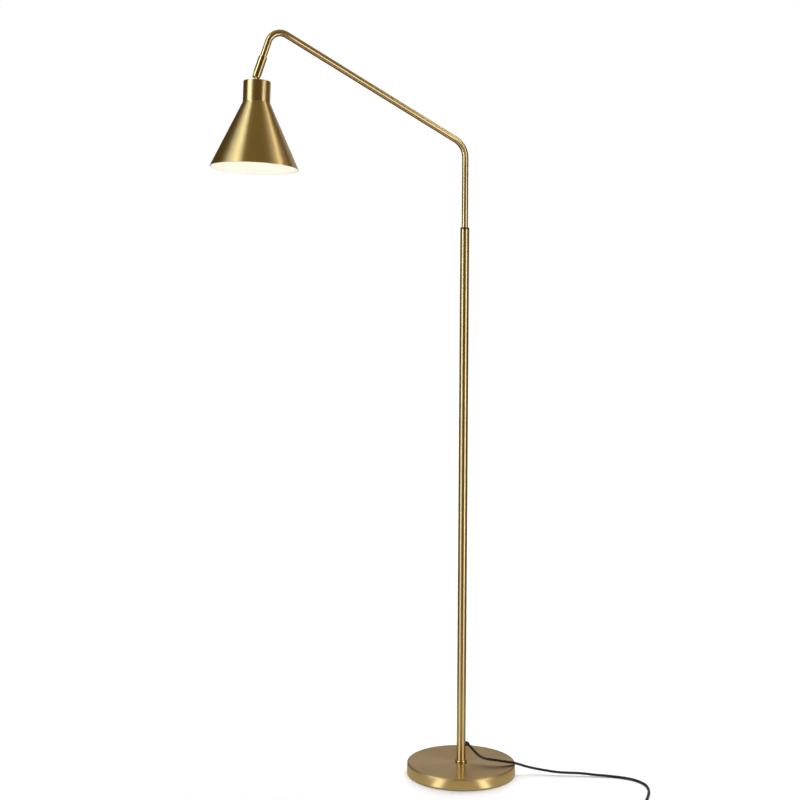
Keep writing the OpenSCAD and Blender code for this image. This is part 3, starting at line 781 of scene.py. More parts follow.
@dataclass
class Viewpoint:
    """The photograph's viewing angle."""

    spot: Spot = (-0.8975, -2.4658, 0.8852)
    heading: float = 17.197
    dip: float = 2.684
    roll: float = 0.279
    lens: float = 58.5
    sensor: float = 36.0
    far: float = 100.0

    def build(self) -> None:
        """Makes the scene's camera."""
        heading, dip, roll = (math.radians(a) for a in (self.heading, self.dip, self.roll))
        ahead = Vector((math.sin(heading) * math.cos(dip), math.cos(heading) * math.cos(dip), -math.sin(dip)))
        right = Vector((math.cos(heading), -math.sin(heading), 0))
        up = right.cross(ahead)
        right, up = right * math.cos(roll) + up * math.sin(roll), up * math.cos(roll) - right * math.sin(roll)
        data = bpy.data.cameras.new("viewpoint")
        data.sensor_fit, data.sensor_width, data.lens = "HORIZONTAL", self.sensor, self.lens
        data.clip_end = self.far
        camera = bpy.data.objects.new("viewpoint", data)
        camera.matrix_world = Matrix.Translation(self.spot) @ Matrix((right, up, -ahead)).transposed().to_4x4()
        bpy.context.scene.collection.objects.link(camera)
        bpy.context.scene.camera = camera


@dataclass(frozen=True)
class SoftLamp:
    """A broad soft lamp, for the floor and the pieces that aren't metal.

    Spread is how wide it looks from the floor, and turn how far it is turned about X and then Y from straight above,
    in degrees.
    """

    name: str
    strength: float
    spread: float
    turn: Flat


@dataclass(frozen=True)
class Strip:
    """A card that runs along points of its middle, with half of its width as a direction, in metres."""

    name: str
    tone: Colour
    half: Spot
    middles: tuple[Spot, ...]


@dataclass(frozen=True)
class Sector:
    """A card round the upright, flat or upright.

    It goes from a first to a last heading, in degrees from +Y towards +X, and each of its sides is a distance and a
    height in metres. Its two ends fade out if it fades.
    """

    name: str
    tone: Colour
    first: float
    last: float
    inner: Flat
    outer: Flat
    fades: bool = False


DARK_ROOM = (
    Sector("dark_wall", (0.085, 0.060, 0.025), 0, 360, (6.0, -0.1), (6.0, 6.0)),
    Sector("dark_ceiling", (0.235, 0.185, 0.09), 0, 360, (0.0, 6.0), (6.0, 6.0)),
    Sector("dark_floor", (0.10, 0.075, 0.035), 0, 360, (0.5, 0.0004), (6.0, 0.0004)),
    Sector("near_floor", (0.45, 0.395, 0.305), 0, 360, (0.111, 0.0004), (0.5, 0.0004)),
    Sector("back_card", (0.405, 0.365, 0.385), -10, 58, (4.0, 0.8), (4.0, 4.0)),
)
FLOOR_LIGHT = (
    Sector("left_floor_near", (1.62, 1.48, 1.36), 218, 237, (0.112, 0.0008), (0.34, 0.0008), True),
    Sector("left_floor_far", (1.62, 1.48, 1.36), 232, 255, (0.34, 0.0008), (3.4, 0.0008), True),
    Sector("right_floor_near", (1.66, 1.56, 1.36), 162, 181, (0.112, 0.0008), (0.34, 0.0008), True),
    Sector("right_floor_far", (1.66, 1.56, 1.36), 146.5, 165.5, (0.34, 0.0008), (0.92, 0.0008), True),
)
STRIPS = (
    Strip("left_strip", (2.1, 2.4, 2.9), (0.21, -0.93, 0.0), (
        (-3.36, -0.98, 0.0), (-3.36, -0.98, 1.35), (-3.46, -0.56, 1.8), (-3.46, -0.56, 2.6))),
    Strip("high_left_strip", (2.45, 2.62, 2.5), (0.1827, -0.8091, 0.0), (
        (-3.46, -0.56, 2.6), (-3.28, -1.28, 3.9), (-3.28, -1.28, 5.9))),
    Strip("low_right_strip", (2.15, 2.15, 2.25), (0.14, 0.155, 0.0), ((0.46, -0.80, 0.0), (0.46, -0.80, 1.3))),
    Strip("right_strip", (1.42, 1.39, 1.35), (0.14, 0.155, 0.0), ((0.46, -0.80, 1.3), (0.46, -0.80, 1.75))),
    Strip("cone_card", (3.6, 3.4, 2.85), (0.044, 0.134, 0.0), ((0.79, -0.40, 1.85), (0.79, -0.40, 2.45))),
    Strip("slope_card", (1.4, 1.33, 1.5), (0.006272, -0.003892, 0.0119), (
        (-0.015, -0.050, 1.268), (-0.36015, -0.050, 1.44974))),
)


@dataclass
class Studio:
    """White floor and background, soft light from above, and cards that only the metal mirrors.

    The cards are a dark warm room with a grey card behind the lamp, tall strips at the left and right, and the light
    of the strips on the floor.
    """

    floor_half: float = 30.0
    floor_white: float = 0.95
    ambient: float = 0.25
    card_step: float = 6.0
    lamps: tuple[SoftLamp, ...] = (
        SoftLamp("overhead", 1.45, 20.0, (-4.0, 3.0)), SoftLamp("backlight", 1.92, 60.0, (-42.0, 22.0)))

    def build(self) -> None:
        """Sets up everything that isn't the lamp."""
        bpy.context.scene.view_settings.view_transform = "Standard"
        self.light_world()
        for lamp in self.lamps:
            self.hang_lamp(lamp)
        self.lay_floor()
        for sector in DARK_ROOM + FLOOR_LIGHT:
            self.hang_sector(sector)
        for strip in STRIPS:
            self.hang_strip(strip)

    def seen(self, recipe: Recipe) -> Wire:
        """1 for rays of the camera and of mirrors and glass, 0 for others."""
        path = recipe.node("LightPath", None, None, "Is Camera Ray")
        return path | path.also("Is Glossy Ray") | path.also("Is Transmission Ray")

    def light_world(self) -> None:
        """White where it is seen, and dimmer as light on the lamp."""
        world = bpy.data.worlds.new("studio")
        world.use_nodes = True
        recipe = Recipe(world.node_tree)
        level = self.seen(recipe) * (1.0 - self.ambient) + self.ambient
        sky = recipe.node("Background", None, {"Color": (1.0, 1.0, 1.0), "Strength": level})
        recipe.node("OutputWorld", None, {"Surface": sky})
        bpy.context.scene.world = world

    def hang_lamp(self, lamp: SoftLamp) -> None:
        """Makes a lamp that doesn't show in mirrors.

        Args:
            lamp: the lamp's values.
        """
        data = bpy.data.lights.new(lamp.name, "SUN")
        data.energy, data.angle = lamp.strength, math.radians(lamp.spread)
        made = bpy.data.objects.new(lamp.name, data)
        made.rotation_euler = (math.radians(lamp.turn[0]), math.radians(lamp.turn[1]), 0)
        made.visible_glossy = False
        made.visible_camera = False
        bpy.context.scene.collection.objects.link(made)

    def lay_floor(self) -> None:
        """A floor that is white where nothing shades it."""
        corners = ((-1, -1), (1, -1), (1, 1), (-1, 1))
        floor = meshed("floor", [self.floor_half * Vector((x, y, 0)) for x, y in corners], [(0, 1, 2, 3)])
        made, recipe = fresh_material("white_floor")
        lit = recipe.node("BsdfDiffuse", None, {"Color": (self.floor_white,) * 3})
        recipe.node("OutputMaterial", None, {"Surface": lit})
        floor.data.materials.append(made)

    def card(self, name: str, points: Sequence[Vector], faces: Sequence[Sequence[int]], radiance: Colour,
             soft: Flat | None = None) -> None:
        """A glowing card that only mirrors see.

        Args:
            name: its name.
            points: its points, in metres.
            faces: its faces.
            radiance: its brightness, in each colour.
            soft: heading of its middle and its half width in degrees about the upright, if its sides fade out.
        """
        card = meshed(name, points, faces)
        made, recipe = fresh_material(name)
        glow = recipe.node("Emission", None, {"Color": radiance, "Strength": 1.0})
        if soft:
            sine, cosine = math.sin(math.radians(soft[0])), math.cos(math.radians(soft[0]))
            x = recipe.node("SeparateXYZ", None, {0: recipe.object_place()})
            y = x.also("Y")
            aside = (x * cosine - y * sine) / (x * sine + y * cosine) / math.tan(math.radians(soft[1]))
            share = (1.0 - aside * aside).clamped()
            clear = recipe.node("BsdfTransparent")
            glow = recipe.node("MixShader", None, {0: share * share, 1: clear, 2: glow})
        recipe.node("OutputMaterial", None, {"Surface": glow})
        card.data.materials.append(made)
        card.visible_camera = card.visible_diffuse = card.visible_shadow = False
        card.visible_transmission = card.visible_volume_scatter = False

    def hang_strip(self, strip: Strip) -> None:
        """Makes the card of a strip.

        Args:
            strip: the strip's values.
        """
        half = Vector(strip.half)
        points = [Vector(spot) + side * half for spot in strip.middles for side in (-1, 1)]
        faces = [(2 * k, 2 * k + 1, 2 * k + 3, 2 * k + 2) for k in range(len(strip.middles) - 1)]
        self.card(strip.name, points, faces, strip.tone)

    def hang_sector(self, sector: Sector) -> None:
        """Makes the card of a sector.

        Args:
            sector: the sector's values.
        """
        width = sector.last - sector.first
        steps = max(4, round(width / self.card_step))
        points: list[Vector] = []
        for k in range(steps + 1):
            angle = math.radians(sector.first + width * k / steps)
            points += [Vector((r * math.sin(angle), r * math.cos(angle), z)) for r, z in (sector.inner, sector.outer)]
        faces = [(2 * k, 2 * k + 2, 2 * k + 3, 2 * k + 1) for k in range(steps)]
        soft = ((sector.first + sector.last) / 2, width / 2) if sector.fades else None
        self.card(sector.name, points, faces, sector.tone, soft)


# The lead and what is on it


@dataclass
class MainsLead:
    """The lead from the upright over the base and along the floor, its foot switch, coil, tie and plug."""

    radius: float = 2.5
    outlet: Spot = (16.554, 0.0, 55.817)
    outlet_dip: float = 45.0
    floor_z: float = 2.6
    line_y: float = -318.0
    switch_x: Flat = (120.0, 195.0)
    parting_z: float = 9.0
    post_in: float = 14.98
    gland_out: float = 10.0
    gland_in: float = 3.0
    run_steps: int = 6
    run_length: float = 0.603
    coil_length: float = 1.345
    coil_centre: Flat = (80.0, -280.0)
    coil_radius: float = 38.0
    coil_pitch: float = 5.5
    coil_z: float = 4.1
    coil_turns: int = 7
    coil_steps: int = 40
    layer_turn: float = 0.5
    level_step: float = 5.0
    fall_step: float = 7.0
    fall_start: float = 2.0
    fall_length: float = 24.0
    fall_clear: float = 5.0
    tail_step: float = 6.0
    tail_first: float = 8.0
    tail_start: float = 14.0
    tail_length: float = 22.0
    tail_clear: float = 9.0
    tail_gaps: Flat = (5.0, 0.02)
    plug_tail_x: float = 36.0
    plug_z: float = 6.85
    run_points: tuple[Spot, ...] = (
        (26.1, -2.9, 44.9), (30.8, -8, 39.3), (35.2, -13.9, 35.5), (40.1, -20.3, 33.3), (45.9, -26.2, 32.4),
        (53.4, -31.6, 31.9), (63.2, -36.5, 31.2), (73.6, -40.5, 29.9), (83.8, -43.9, 28.3), (93.6, -46.5, 26.8),
        (100.7, -47.8, 25.1), (110.5, -49, 21.7), (120.9, -50.1, 18), (132.7, -52.1, 14.5), (150.1, -57.7, 11),
        (167.6, -65.8, 8.6), (183.4, -73, 7), (200.3, -79.5, 6.4), (219.3, -86.2, 6.1), (237.7, -94.1, 5.2),
        (254.4, -102, 3.9), (270.7, -109.1, 3.3))
    floor_points: tuple[Flat, ...] = (
        (286, -117), (300, -127.5), (312, -140), (320.5, -156), (324.5, -174), (322, -193), (314, -214), (302, -234),
        (288, -254), (271, -273))
    rise_points: tuple[Spot, ...] = ((252, -290, 2.8), (234, -304, 4.4), (219, -313, 7.4))

    def run_route(self) -> list[Vector]:
        """The lead from the grommet to the foot switch.

        Returns:
            Its points, in millimetres.
        """
        dip = math.radians(self.outlet_dip)
        start = Vector(self.outlet)
        points = [start, start + 2 * self.radius * Vector((math.cos(dip), 0, -math.sin(dip)))]
        points += [Vector(p) for p in self.run_points]
        points += [Vector((x, y, self.floor_z)) for x, y in self.floor_points]
        points += [Vector(p) for p in self.rise_points]
        end = self.switch_x[1]
        level = (end + self.gland_out, end - self.gland_in, end - self.post_in)
        points += [Vector((x, self.line_y, self.parting_z)) for x in level]
        return smooth_route(points, self.run_steps)

    def coil_point(self, turn: float) -> Vector:
        """A point of the coil, which spirals in, climbs a layer and spirals out.

        Args:
            turn: how many turns it is from the start.

        Returns:
            The point, in millimetres.
        """
        middle = self.coil_turns / 2
        radius = self.coil_radius - self.coil_pitch * (middle - abs(turn - middle))
        angle = math.radians(-90 - 360 * turn)
        return Vector((
            self.coil_centre[0] + radius * math.cos(angle), self.coil_centre[1] + radius * math.sin(angle),
            self.coil_z + self.coil_pitch * ease((turn - middle) / self.layer_turn + 0.5)))

    def coil_route(self) -> list[Vector]:
        """The lead from the foot switch through the coil to the plug.

        Returns:
            Its points, in millimetres.
        """
        y, first, middle = self.line_y, self.switch_x[0], self.coil_centre[0]
        line = [Vector((first + self.post_in - self.level_step * k, y, self.parting_z)) for k in range(4)]
        x = first - self.fall_step
        while x >= middle + self.fall_clear:
            fall = (self.coil_z - self.parting_z) * ease((first - self.fall_start - x) / self.fall_length)
            line.append(Vector((x, y, self.parting_z + fall)))
            x -= self.fall_step
        count = self.coil_turns * self.coil_steps
        line += [self.coil_point(k / self.coil_steps) for k in range(count + 1)]
        top = self.coil_z + self.coil_pitch
        x = middle - self.tail_first
        while x >= self.plug_tail_x + self.tail_clear:
            fall = (self.plug_z - top) * ease((middle - self.tail_start - x) / self.tail_length)
            line.append(Vector((x, y, top + fall)))
            x -= self.tail_step
        return line + [Vector((self.plug_tail_x + gap, y, self.plug_z)) for gap in self.tail_gaps]

    def cord(self, name: str, route: Sequence[Vector]) -> bpy.types.Object:
        """A round lead along a route.

        Args:
            name: the piece's name.
            route: its centreline, in millimetres.

        Returns:
            The lead as a curve.
        """
        data = bpy.data.curves.new(name, "CURVE")
        data.dimensions = "3D"
        data.bevel_depth, data.bevel_resolution, data.use_fill_caps = self.radius * MM, 5, True
        spline = data.splines.new("POLY")
        spline.points.add(len(route) - 1)
        for point, spot in zip(spline.points, route):
            point.co = (*(spot * MM), 1.0)
        spline.use_smooth = True
        made = bpy.data.objects.new(name, data)
        bpy.context.scene.collection.objects.link(made)
        return made

    def build(self) -> None:
        """Makes the lead in its two lengths, with what is on each."""
        run = place(self.cord("lead_run", self.run_route()), Body.STAND, Slot.CORD_RUBBER, BLACK_LEAD, "cord_run")
        coil = place(
            self.cord("lead_coil", self.coil_route()), Body.STAND, Slot.CORD_RUBBER, BLACK_LEAD, "cord_coil")
        cases = FootSwitch().build()
        tie = CoilTie().build()
        plug = MainsPlug().build()


@dataclass
class FootSwitch:
    """A foot switch in the lead: two half cases and a push button."""

    middle: Flat = (157.5, -318.0)
    half_long: float = 37.5
    half_wide: float = 17.0
    corner: float = 9.0
    wall: float = 2.0
    parting_z: float = 9.0
    top_z: float = 20.0
    hole_r: float = 11.3
    button_r: float = 11.0
    button_top: float = 24.5
    flange_r: float = 12.4
    flange_z: Flat = (15.1, 17.7)
    plunger_r: float = 3.0
    edge: float = 3.2
    low_edge: float = 1.6
    button_edge: float = 1.2
    seam: float = 0.02
    seam_edge: Flat = (0.35, 0.4)
    middle_inset: float = 15.0
    least_corner: float = 0.4
    lip: tuple[Flat, ...] = ((1.6, 0.0), (0.5, 0.1), (0.0, 0.6))
    dish: tuple[Flat, ...] = ((2.4, 0.15), (4.5, 0.7), (7.5, 1.1))
    dish_depth: float = 1.25

    def ring(self, inset: float, height: float) -> Ring:
        """A ring of the case.

        Args:
            inset: how much smaller it is than the case all round, in millimetres.
            height: its height.

        Returns:
            Its points, in metres.
        """
        corner = max(self.corner - inset, self.least_corner)
        return [Vector((self.middle[0] + x, self.middle[1] + y, height)) * MM
                for x, y in plate_ring(self.half_long - inset, self.half_wide - inset, corner)]

    def round_ring(self, radius: float, height: float) -> Ring:
        """A circle of the case about the button, in metres."""
        return [Vector((self.middle[0] + x, self.middle[1] + y, height)) * MM
                for x, y in plate_ring(radius, radius, radius)]

    def build_base(self) -> bpy.types.Object:
        """The lower case, with a round lower edge.

        Returns:
            The piece.
        """
        wall, parting = self.wall, self.parting_z
        edge_in, edge_h = self.seam_edge
        rings = [self.ring(self.middle_inset, wall), self.ring(wall, wall), self.ring(wall, parting),
                 self.ring(edge_in, parting), self.ring(0.0, parting - edge_h)]
        rings += [self.ring(inset, up) for inset, up in round_edge(self.low_edge, 6)]
        rings.append(self.ring(self.middle_inset, 0.0))
        return place(lofted("switch_base", rings), Body.STAND, Slot.BLACK_PLASTIC, BLACK_CASE, "switch_lower_case")

    def build_lid(self) -> bpy.types.Object:
        """The upper case, with a round upper edge and a rounded hole for the button.

        Returns:
            The piece.
        """
        wall, low, top = self.wall, self.parting_z + self.seam, self.top_z
        edge_in, edge_h = self.seam_edge
        rings = [self.ring(wall, low), self.ring(edge_in, low), self.ring(0.0, low + edge_h)]
        rings += [self.ring(inset, top - down) for inset, down in round_edge(self.edge, 9)]
        rings += [self.round_ring(self.hole_r + out, top - down) for out, down in self.lip]
        rings += [self.round_ring(self.hole_r, top - wall), self.ring(wall, top - wall)]
        return place(lofted("switch_lid", rings, closed=True), Body.STAND, Slot.BLACK_PLASTIC, BLACK_CASE,
                     "switch_upper_case")

    def build_button(self) -> bpy.types.Object:
        """The push button, dished for the toes of a shoe.

        Returns:
            The piece.
        """
        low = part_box("switch_button")[0].z / MM
        top, r = self.button_top, self.button_r
        outline = [(0.0, low), (self.plunger_r, low), (self.plunger_r, self.flange_z[0]),
                   (self.flange_r, self.flange_z[0]), (self.flange_r, self.flange_z[1]), (r, self.flange_z[1])]
        outline += [(r - inset, top - down) for inset, down in round_edge(self.button_edge, 6) + list(self.dish)]
        outline.append((0.0, top - self.dish_depth))
        piece = turned("switch_push", outline, 64)
        piece.matrix_world = Matrix.Translation((self.middle[0] * MM, self.middle[1] * MM, 0))
        return place(piece, Body.BUTTON, Slot.BLACK_PLASTIC, BLACK_CASE, "switch_button")

    def build(self) -> list[bpy.types.Object]:
        """Makes the switch's pieces and returns them."""
        return [self.build_base(), self.build_lid(), self.build_button()]


@dataclass
class CoilTie:
    """A strap round the turns of the coil."""

    middle: Flat = (80.0, -253.0)
    width: float = 8.0
    half_y: float = 12.65
    height: float = 13.7
    thick: float = 1.0
    corner: float = 3.4
    soft: float = 0.35

    def ring(self, inset: float, along: float) -> Ring:
        """A loop of the strap.

        Args:
            inset: how much smaller it is than the strap's outside, in millimetres.
            along: its place across the strap's width.

        Returns:
            Its points, in metres.
        """
        half = self.height / 2
        return [Vector((self.middle[0] + along, self.middle[1] + y, half + z)) * MM
                for y, z in plate_ring(self.half_y - inset, half - inset, self.corner - inset)]

    def build(self) -> bpy.types.Object:
        """Makes the strap with soft edges.

        Returns:
            The piece.
        """
        half, soft, thick = self.width / 2, self.soft, self.thick
        loops = ((0.0, soft - half), (0.0, half - soft), (soft, half), (thick - soft, half), (thick, half - soft),
                 (thick, soft - half), (thick - soft, -half), (soft, -half))
        rings = [self.ring(inset, along) for inset, along in loops]
        return place(lofted("tie_strap", rings, closed=True), Body.STAND, Slot.BLACK_PLASTIC, BLACK_STRAP, "coil_tie")


@dataclass
class MainsPlug:
    """A flat two-pin plug with a ribbed tail, whose pins stay CAD."""

    tail_x: float = 36.0
    body_x: float = 14.0
    face_x: float = -22.0
    line_y: float = -318.0
    axis_z: float = 6.85
    tail_r: Flat = (4.1, 5.75)
    half_wide: float = 17.5
    half_thick: float = 6.85
    ribs: int = 7
    rib_marks: tuple[Flat, ...] = ((0.0, 0.0), (0.55, 0.0), (0.62, 0.7), (0.93, 0.7))
    swell_steps: int = 12
    swell_length: float = 19.8
    swell_thin: float = 0.2
    swell_rate: float = 1.6
    corner_loss: float = 0.35
    face_rings: tuple[tuple[float, ...], ...] = ((1.2, 0.0, 6.65, 4.2), (0.4, 0.4, 6.3, 4.0), (0.0, 1.2, 5.5, 3.4))

    def ring(self, x: float, half_y: float, half_z: float, corner: float) -> Ring:
        """A ring of the plug across its length, in metres."""
        return [Vector((x, self.line_y + y, self.axis_z + z)) * MM for y, z in plate_ring(half_y, half_z, corner)]

    def build(self) -> bpy.types.Object:
        """Makes the tail, with ribs, and the body, which widens to the grip.

        Returns:
            The piece.
        """
        rings: list[Ring] = []
        thin, thick = self.tail_r
        for k in range(self.ribs):
            for part, dent in self.rib_marks:
                t = (k + part) / self.ribs
                r = thin + (thick - thin) * t - dent * (0.5 + 0.5 * t)
                rings.append(self.ring(self.tail_x - (self.tail_x - self.body_x) * t, r, r, r))
        for k in range(self.swell_steps + 1):
            t = k / self.swell_steps
            half_y = thick + (self.half_wide - thick) * ease(t)
            half_z = thick + (self.half_thick - self.swell_thin - thick) * ease(t * self.swell_rate)
            corner = min(half_z, half_y) * (1 - self.corner_loss * t)
            rings.append(self.ring(self.body_x - self.swell_length * t, half_y, half_z, corner))
        rings += [self.ring(self.face_x + back, self.half_wide - inset, half_z, corner)
                  for back, inset, half_z, corner in self.face_rings]
        return place(lofted("plug_moulding", rings), Body.STAND, Slot.BLACK_PLASTIC, BLACK_CASE, "plug_body")


# The stand


@dataclass
class RoundBase:
    """The weighted base: spun cover, felt and the ring round the upright."""

    radius: float = 110.0
    low: float = 0.8
    top: float = 23.2
    wall: float = 1.2
    edge: float = 2.5
    hole: float = 5.0
    flat_rings: tuple[float, ...] = (6.0, 20.0, 40.0, 60.0, 80.0, 100.0)
    lip_height: float = 0.5
    lip: tuple[Flat, ...] = ((0.25, 0.12), (0.6, 0.0))
    lip_inside: float = 0.2
    rim_inset: float = 0.7
    felt_r: float = 106.0
    felt_t: float = 2.0
    felt_edge: float = 0.6
    ring_r: float = 10.0
    ring_section: float = 2.5
    ring_z: float = 25.7
    ring_bore: float = 9.05
    ring_steps: int = 48

    def build_cover(self) -> None:
        """The spun cover with a soft top edge."""
        radius, low, top = self.radius, self.low, self.top
        inner, under = radius - self.wall, top - self.wall
        outline = [(self.hole, top)] + [(r, top) for r in self.flat_rings]
        corners = [(self.flat_rings[-1], top, 0), (radius, top, self.edge), (radius, low + self.lip_height, 0)]
        outline += filleted(corners, 8)[1:]
        outline += [(radius - inset, low + up) for inset, up in self.lip]
        outline += [(inner, low + self.lip_inside), (inner, under), (self.hole, under)]
        # Painted highlight: the rim is painted a lighter brass along the top edge, and is rougher there.
        rim = ((radius - self.rim_inset) * MM, (top - self.rim_inset) * MM)
        finish = SpunBrass(
            "base_brass_painted_rim_highlight", roughness=0.32, anisotropy=0.8, wear_and_painted_edges=(rim,), edge_mark_width=0.003, edge_mark_polish=-0.6)
        place(turned("base_cover", outline, 256, closed=True), Body.STAND, Slot.BRUSHED_BRASS, finish, "base_shell")

    def build_felt(self) -> None:
        """The felt under the base, with a soft edge."""
        r, t, edge = self.felt_r, self.felt_t, self.felt_edge
        side = filleted([(0, 0, 0), (r, 0, edge), (r, t, edge), (0, t, 0)], 4)[1:-1]
        outline = [(0.0, 0.0)] + side + [(0.0, t)]
        place(turned("base_felt", outline, 128), Body.STAND, Slot.FELT, GREY_FELT, "base_pad")

    def build_ring(self) -> None:
        """The rounded ring at the foot of the upright."""
        outline = []
        for k in range(self.ring_steps):
            angle = math.tau * k / self.ring_steps
            r = self.ring_r + self.ring_section * math.cos(angle)
            outline.append((max(r, self.ring_bore), self.ring_z + self.ring_section * math.sin(angle)))
        finish = SpunBrass("collar_brass", roughness=0.26, anisotropy=0.4)
        place(turned("collar_ring", outline, 96, closed=True), Body.STAND, Slot.BRUSHED_BRASS, finish, "foot_collar")

    def build(self) -> None:
        """Makes the base's pieces."""
        self.build_cover()
        self.build_felt()
        self.build_ring()


@dataclass
class Upright:
    """The thick tube, and the bush where the lead leaves it."""

    radius: float = 9.0
    bore: float = 7.8
    low: float = 23.2
    top: float = 1109.2
    chamfer: float = 0.8
    chamfer_edges: Flat = (0.5, 0.4)
    parts: int = 24
    straight_end: float = 60.0
    # Inset and drop of a painted shade band at the tube's top edge.
    painted_shade_edge: Flat = (0.3, 1.5)
    outlet_z: float = 59.7
    flange_r: float = 5.6
    flange_x: float = 10.6
    flange_back: float = 6.5
    flange_edge: tuple[Flat, ...] = ((0.7, 0.0), (0.2, 0.35), (0.0, 1.0))
    root_xs: Flat = (4.0, 6.4)
    neck_r: float = 3.7
    neck_swell: float = 0.4
    neck_gap: float = 0.02
    neck_steps: int = 8
    nose: tuple[Flat, ...] = ((0.35, 3.55), (0.8, 3.22), (0.95, 3.1), (1.0, 2.85))
    bend_r: float = 5.0
    dip: float = 45.0
    nose_len: float = 3.42

    def build_tube(self) -> None:
        """The tube, with its top edge broken."""
        r, c, top = self.radius, self.chamfer, self.top
        low_edge, top_edge = self.chamfer_edges
        outline = [(r, self.low + (top - self.low) * k / self.parts) for k in range(self.parts)]
        corners = [(r, top - self.straight_end, 0), (r, top - c, low_edge), (r - c, top, top_edge),
                   (self.bore, top, 0)]
        outline += filleted(corners, 4)[1:] + [(self.bore, self.low)]
        # Painted shade: a dark band round the top edge of the tube stands in for the shadow and dark gap at its
        # mouth.
        inset, drop = self.painted_shade_edge
        finish = SpunBrass(
            "upright_brass_painted_top_shade", roughness=0.34, anisotropy=0.85, relief=0.05, streak=0.08,
            wear_and_painted_edges=(((r - inset) * MM, (top - drop) * MM),), edge_mark_width=0.0031, edge_mark_tone=(0.08, 0.05, 0.02),
            edge_mark_share=2.4)
        place(turned("upright_tube", outline, 96, closed=True), Body.STAND, Slot.BRUSHED_BRASS, finish, "pole_tube")

    def build_bush(self) -> None:
        """The black bush: a flange against the tube and a nose that turns the lead down."""
        z, reach, bend, dip = self.outlet_z, self.flange_x, self.bend_r, math.radians(self.dip)
        marks = [(x, self.neck_r) for x in self.root_xs] + [(self.flange_back, self.flange_r)]
        marks += [(reach - back, self.flange_r - inset) for back, inset in self.flange_edge]
        path = [Vector((x, 0, z)) for x, _ in marks]
        radii = [r for _, r in marks]
        for k in range(self.neck_steps + 1):
            part = k / self.neck_steps
            turn = dip * part
            path.append(Vector((reach + self.neck_gap + bend * math.sin(turn), 0, z - bend * (1 - math.cos(turn)))))
            radii.append(self.neck_r + self.neck_swell * (1 - part))
        start, ahead = path[-1], Vector((math.cos(dip), 0, -math.sin(dip)))
        for part, r in self.nose:
            path.append(start + ahead * self.nose_len * part)
            radii.append(r)
        place(swept("lead_bush", path, radii), Body.STAND, Slot.CORD_RUBBER, BLACK_LEAD, "cord_grommet")

    def build(self) -> None:
        """Makes the upright's pieces."""
        self.build_tube()
        self.build_bush()


# The arm and the head


@dataclass
class SwingArm:
    """The thin bent tube that turns in the upright."""

    radius: float = 6.35
    bore: float = 5.35
    foot: float = 989.25
    upright_end: float = 1248.07
    low_bend: float = 40.0
    low_turn: float = 62.2
    diagonal: float = 387.7
    top_bend: float = 25.0
    top_turn: float = 98.8
    drop: float = 48.3
    part_length: float = 40.0
    steps: int = 96

    def straight(self, name: str, start: Vector, angle: float, length: float) -> Vector:
        """Makes a straight length.

        Args:
            name: the piece's name.
            start: where its middle starts, in millimetres.
            angle: its lean from upright towards -X, in degrees.
            length: its length.

        Returns:
            Where its middle ends.
        """
        lean = math.radians(angle)
        parts = max(2, round(length / self.part_length))
        outline = [(self.radius, length * k / parts) for k in range(parts + 1)]
        outline += [(self.bore, length), (self.bore, 0)]
        piece = turned(name, outline, self.steps, closed=True)
        piece.matrix_world = Matrix.Translation(start * MM) @ Matrix.Rotation(-lean, 4, "Y")
        place(piece, Body.ARM, Slot.BRUSHED_BRASS, ARM_BRASS, "arm_tube")
        return start + length * Vector((-math.sin(lean), 0, math.cos(lean)))

    def bend(self, name: str, start: Vector, angle: float, radius: float, turn: float, finish: Finish) -> Vector:
        """Makes a bend towards -X.

        Args:
            name: the piece's name.
            start: where its middle starts, in millimetres.
            angle: the lean at its start, in degrees.
            radius: radius of its middle.
            turn: angle that it turns through, in degrees.
            finish: its finish.

        Returns:
            Where its middle ends.
        """
        first, last = math.radians(angle), math.radians(angle + turn)
        centre = start - radius * Vector((math.cos(first), 0, math.sin(first)))
        parts = max(16, round(turn / 2))
        outer: list[Ring] = []
        inner: list[Ring] = []
        for k in range(parts + 1):
            now = math.radians(turn) * k / parts
            out = Vector((math.cos(now), math.sin(now), 0))
            outer.append(arc_ring(out * radius * MM, Vector((0, 0, 1)), out, self.radius * MM, self.steps))
            inner.append(arc_ring(out * radius * MM, Vector((0, 0, 1)), out, self.bore * MM, self.steps))
        piece = lofted(name, outer + inner[::-1], closed=True)
        mesh = piece.data
        mesh.use_auto_texspace = False
        mesh.texspace_location, mesh.texspace_size = (0, 0, 0), ((radius + self.radius) * MM,) * 3
        axes = Matrix(((math.cos(first), -math.sin(first), 0), (0, 0, -1), (math.sin(first), math.cos(first), 0)))
        piece.matrix_world = Matrix.Translation(centre * MM) @ axes.to_4x4()
        place(piece, Body.ARM, Slot.BRUSHED_BRASS, finish, "arm_tube")
        return centre + radius * Vector((math.cos(last), 0, math.sin(last)))

    def build(self) -> None:
        """Makes the tube in three straight lengths and two bends."""
        spot = self.straight("arm_riser", Vector((0, 0, self.foot)), 0.0, self.upright_end - self.foot)
        spot = self.bend("arm_low_bend", spot, 0.0, self.low_bend, self.low_turn, LOW_BEND_BRASS)
        spot = self.straight("arm_diagonal", spot, self.low_turn, self.diagonal)
        spot = self.bend("arm_top_bend", spot, self.low_turn, self.top_bend, self.top_turn, TOP_BEND_BRASS)
        self.straight("arm_drop", spot, self.low_turn + self.top_turn, self.drop)


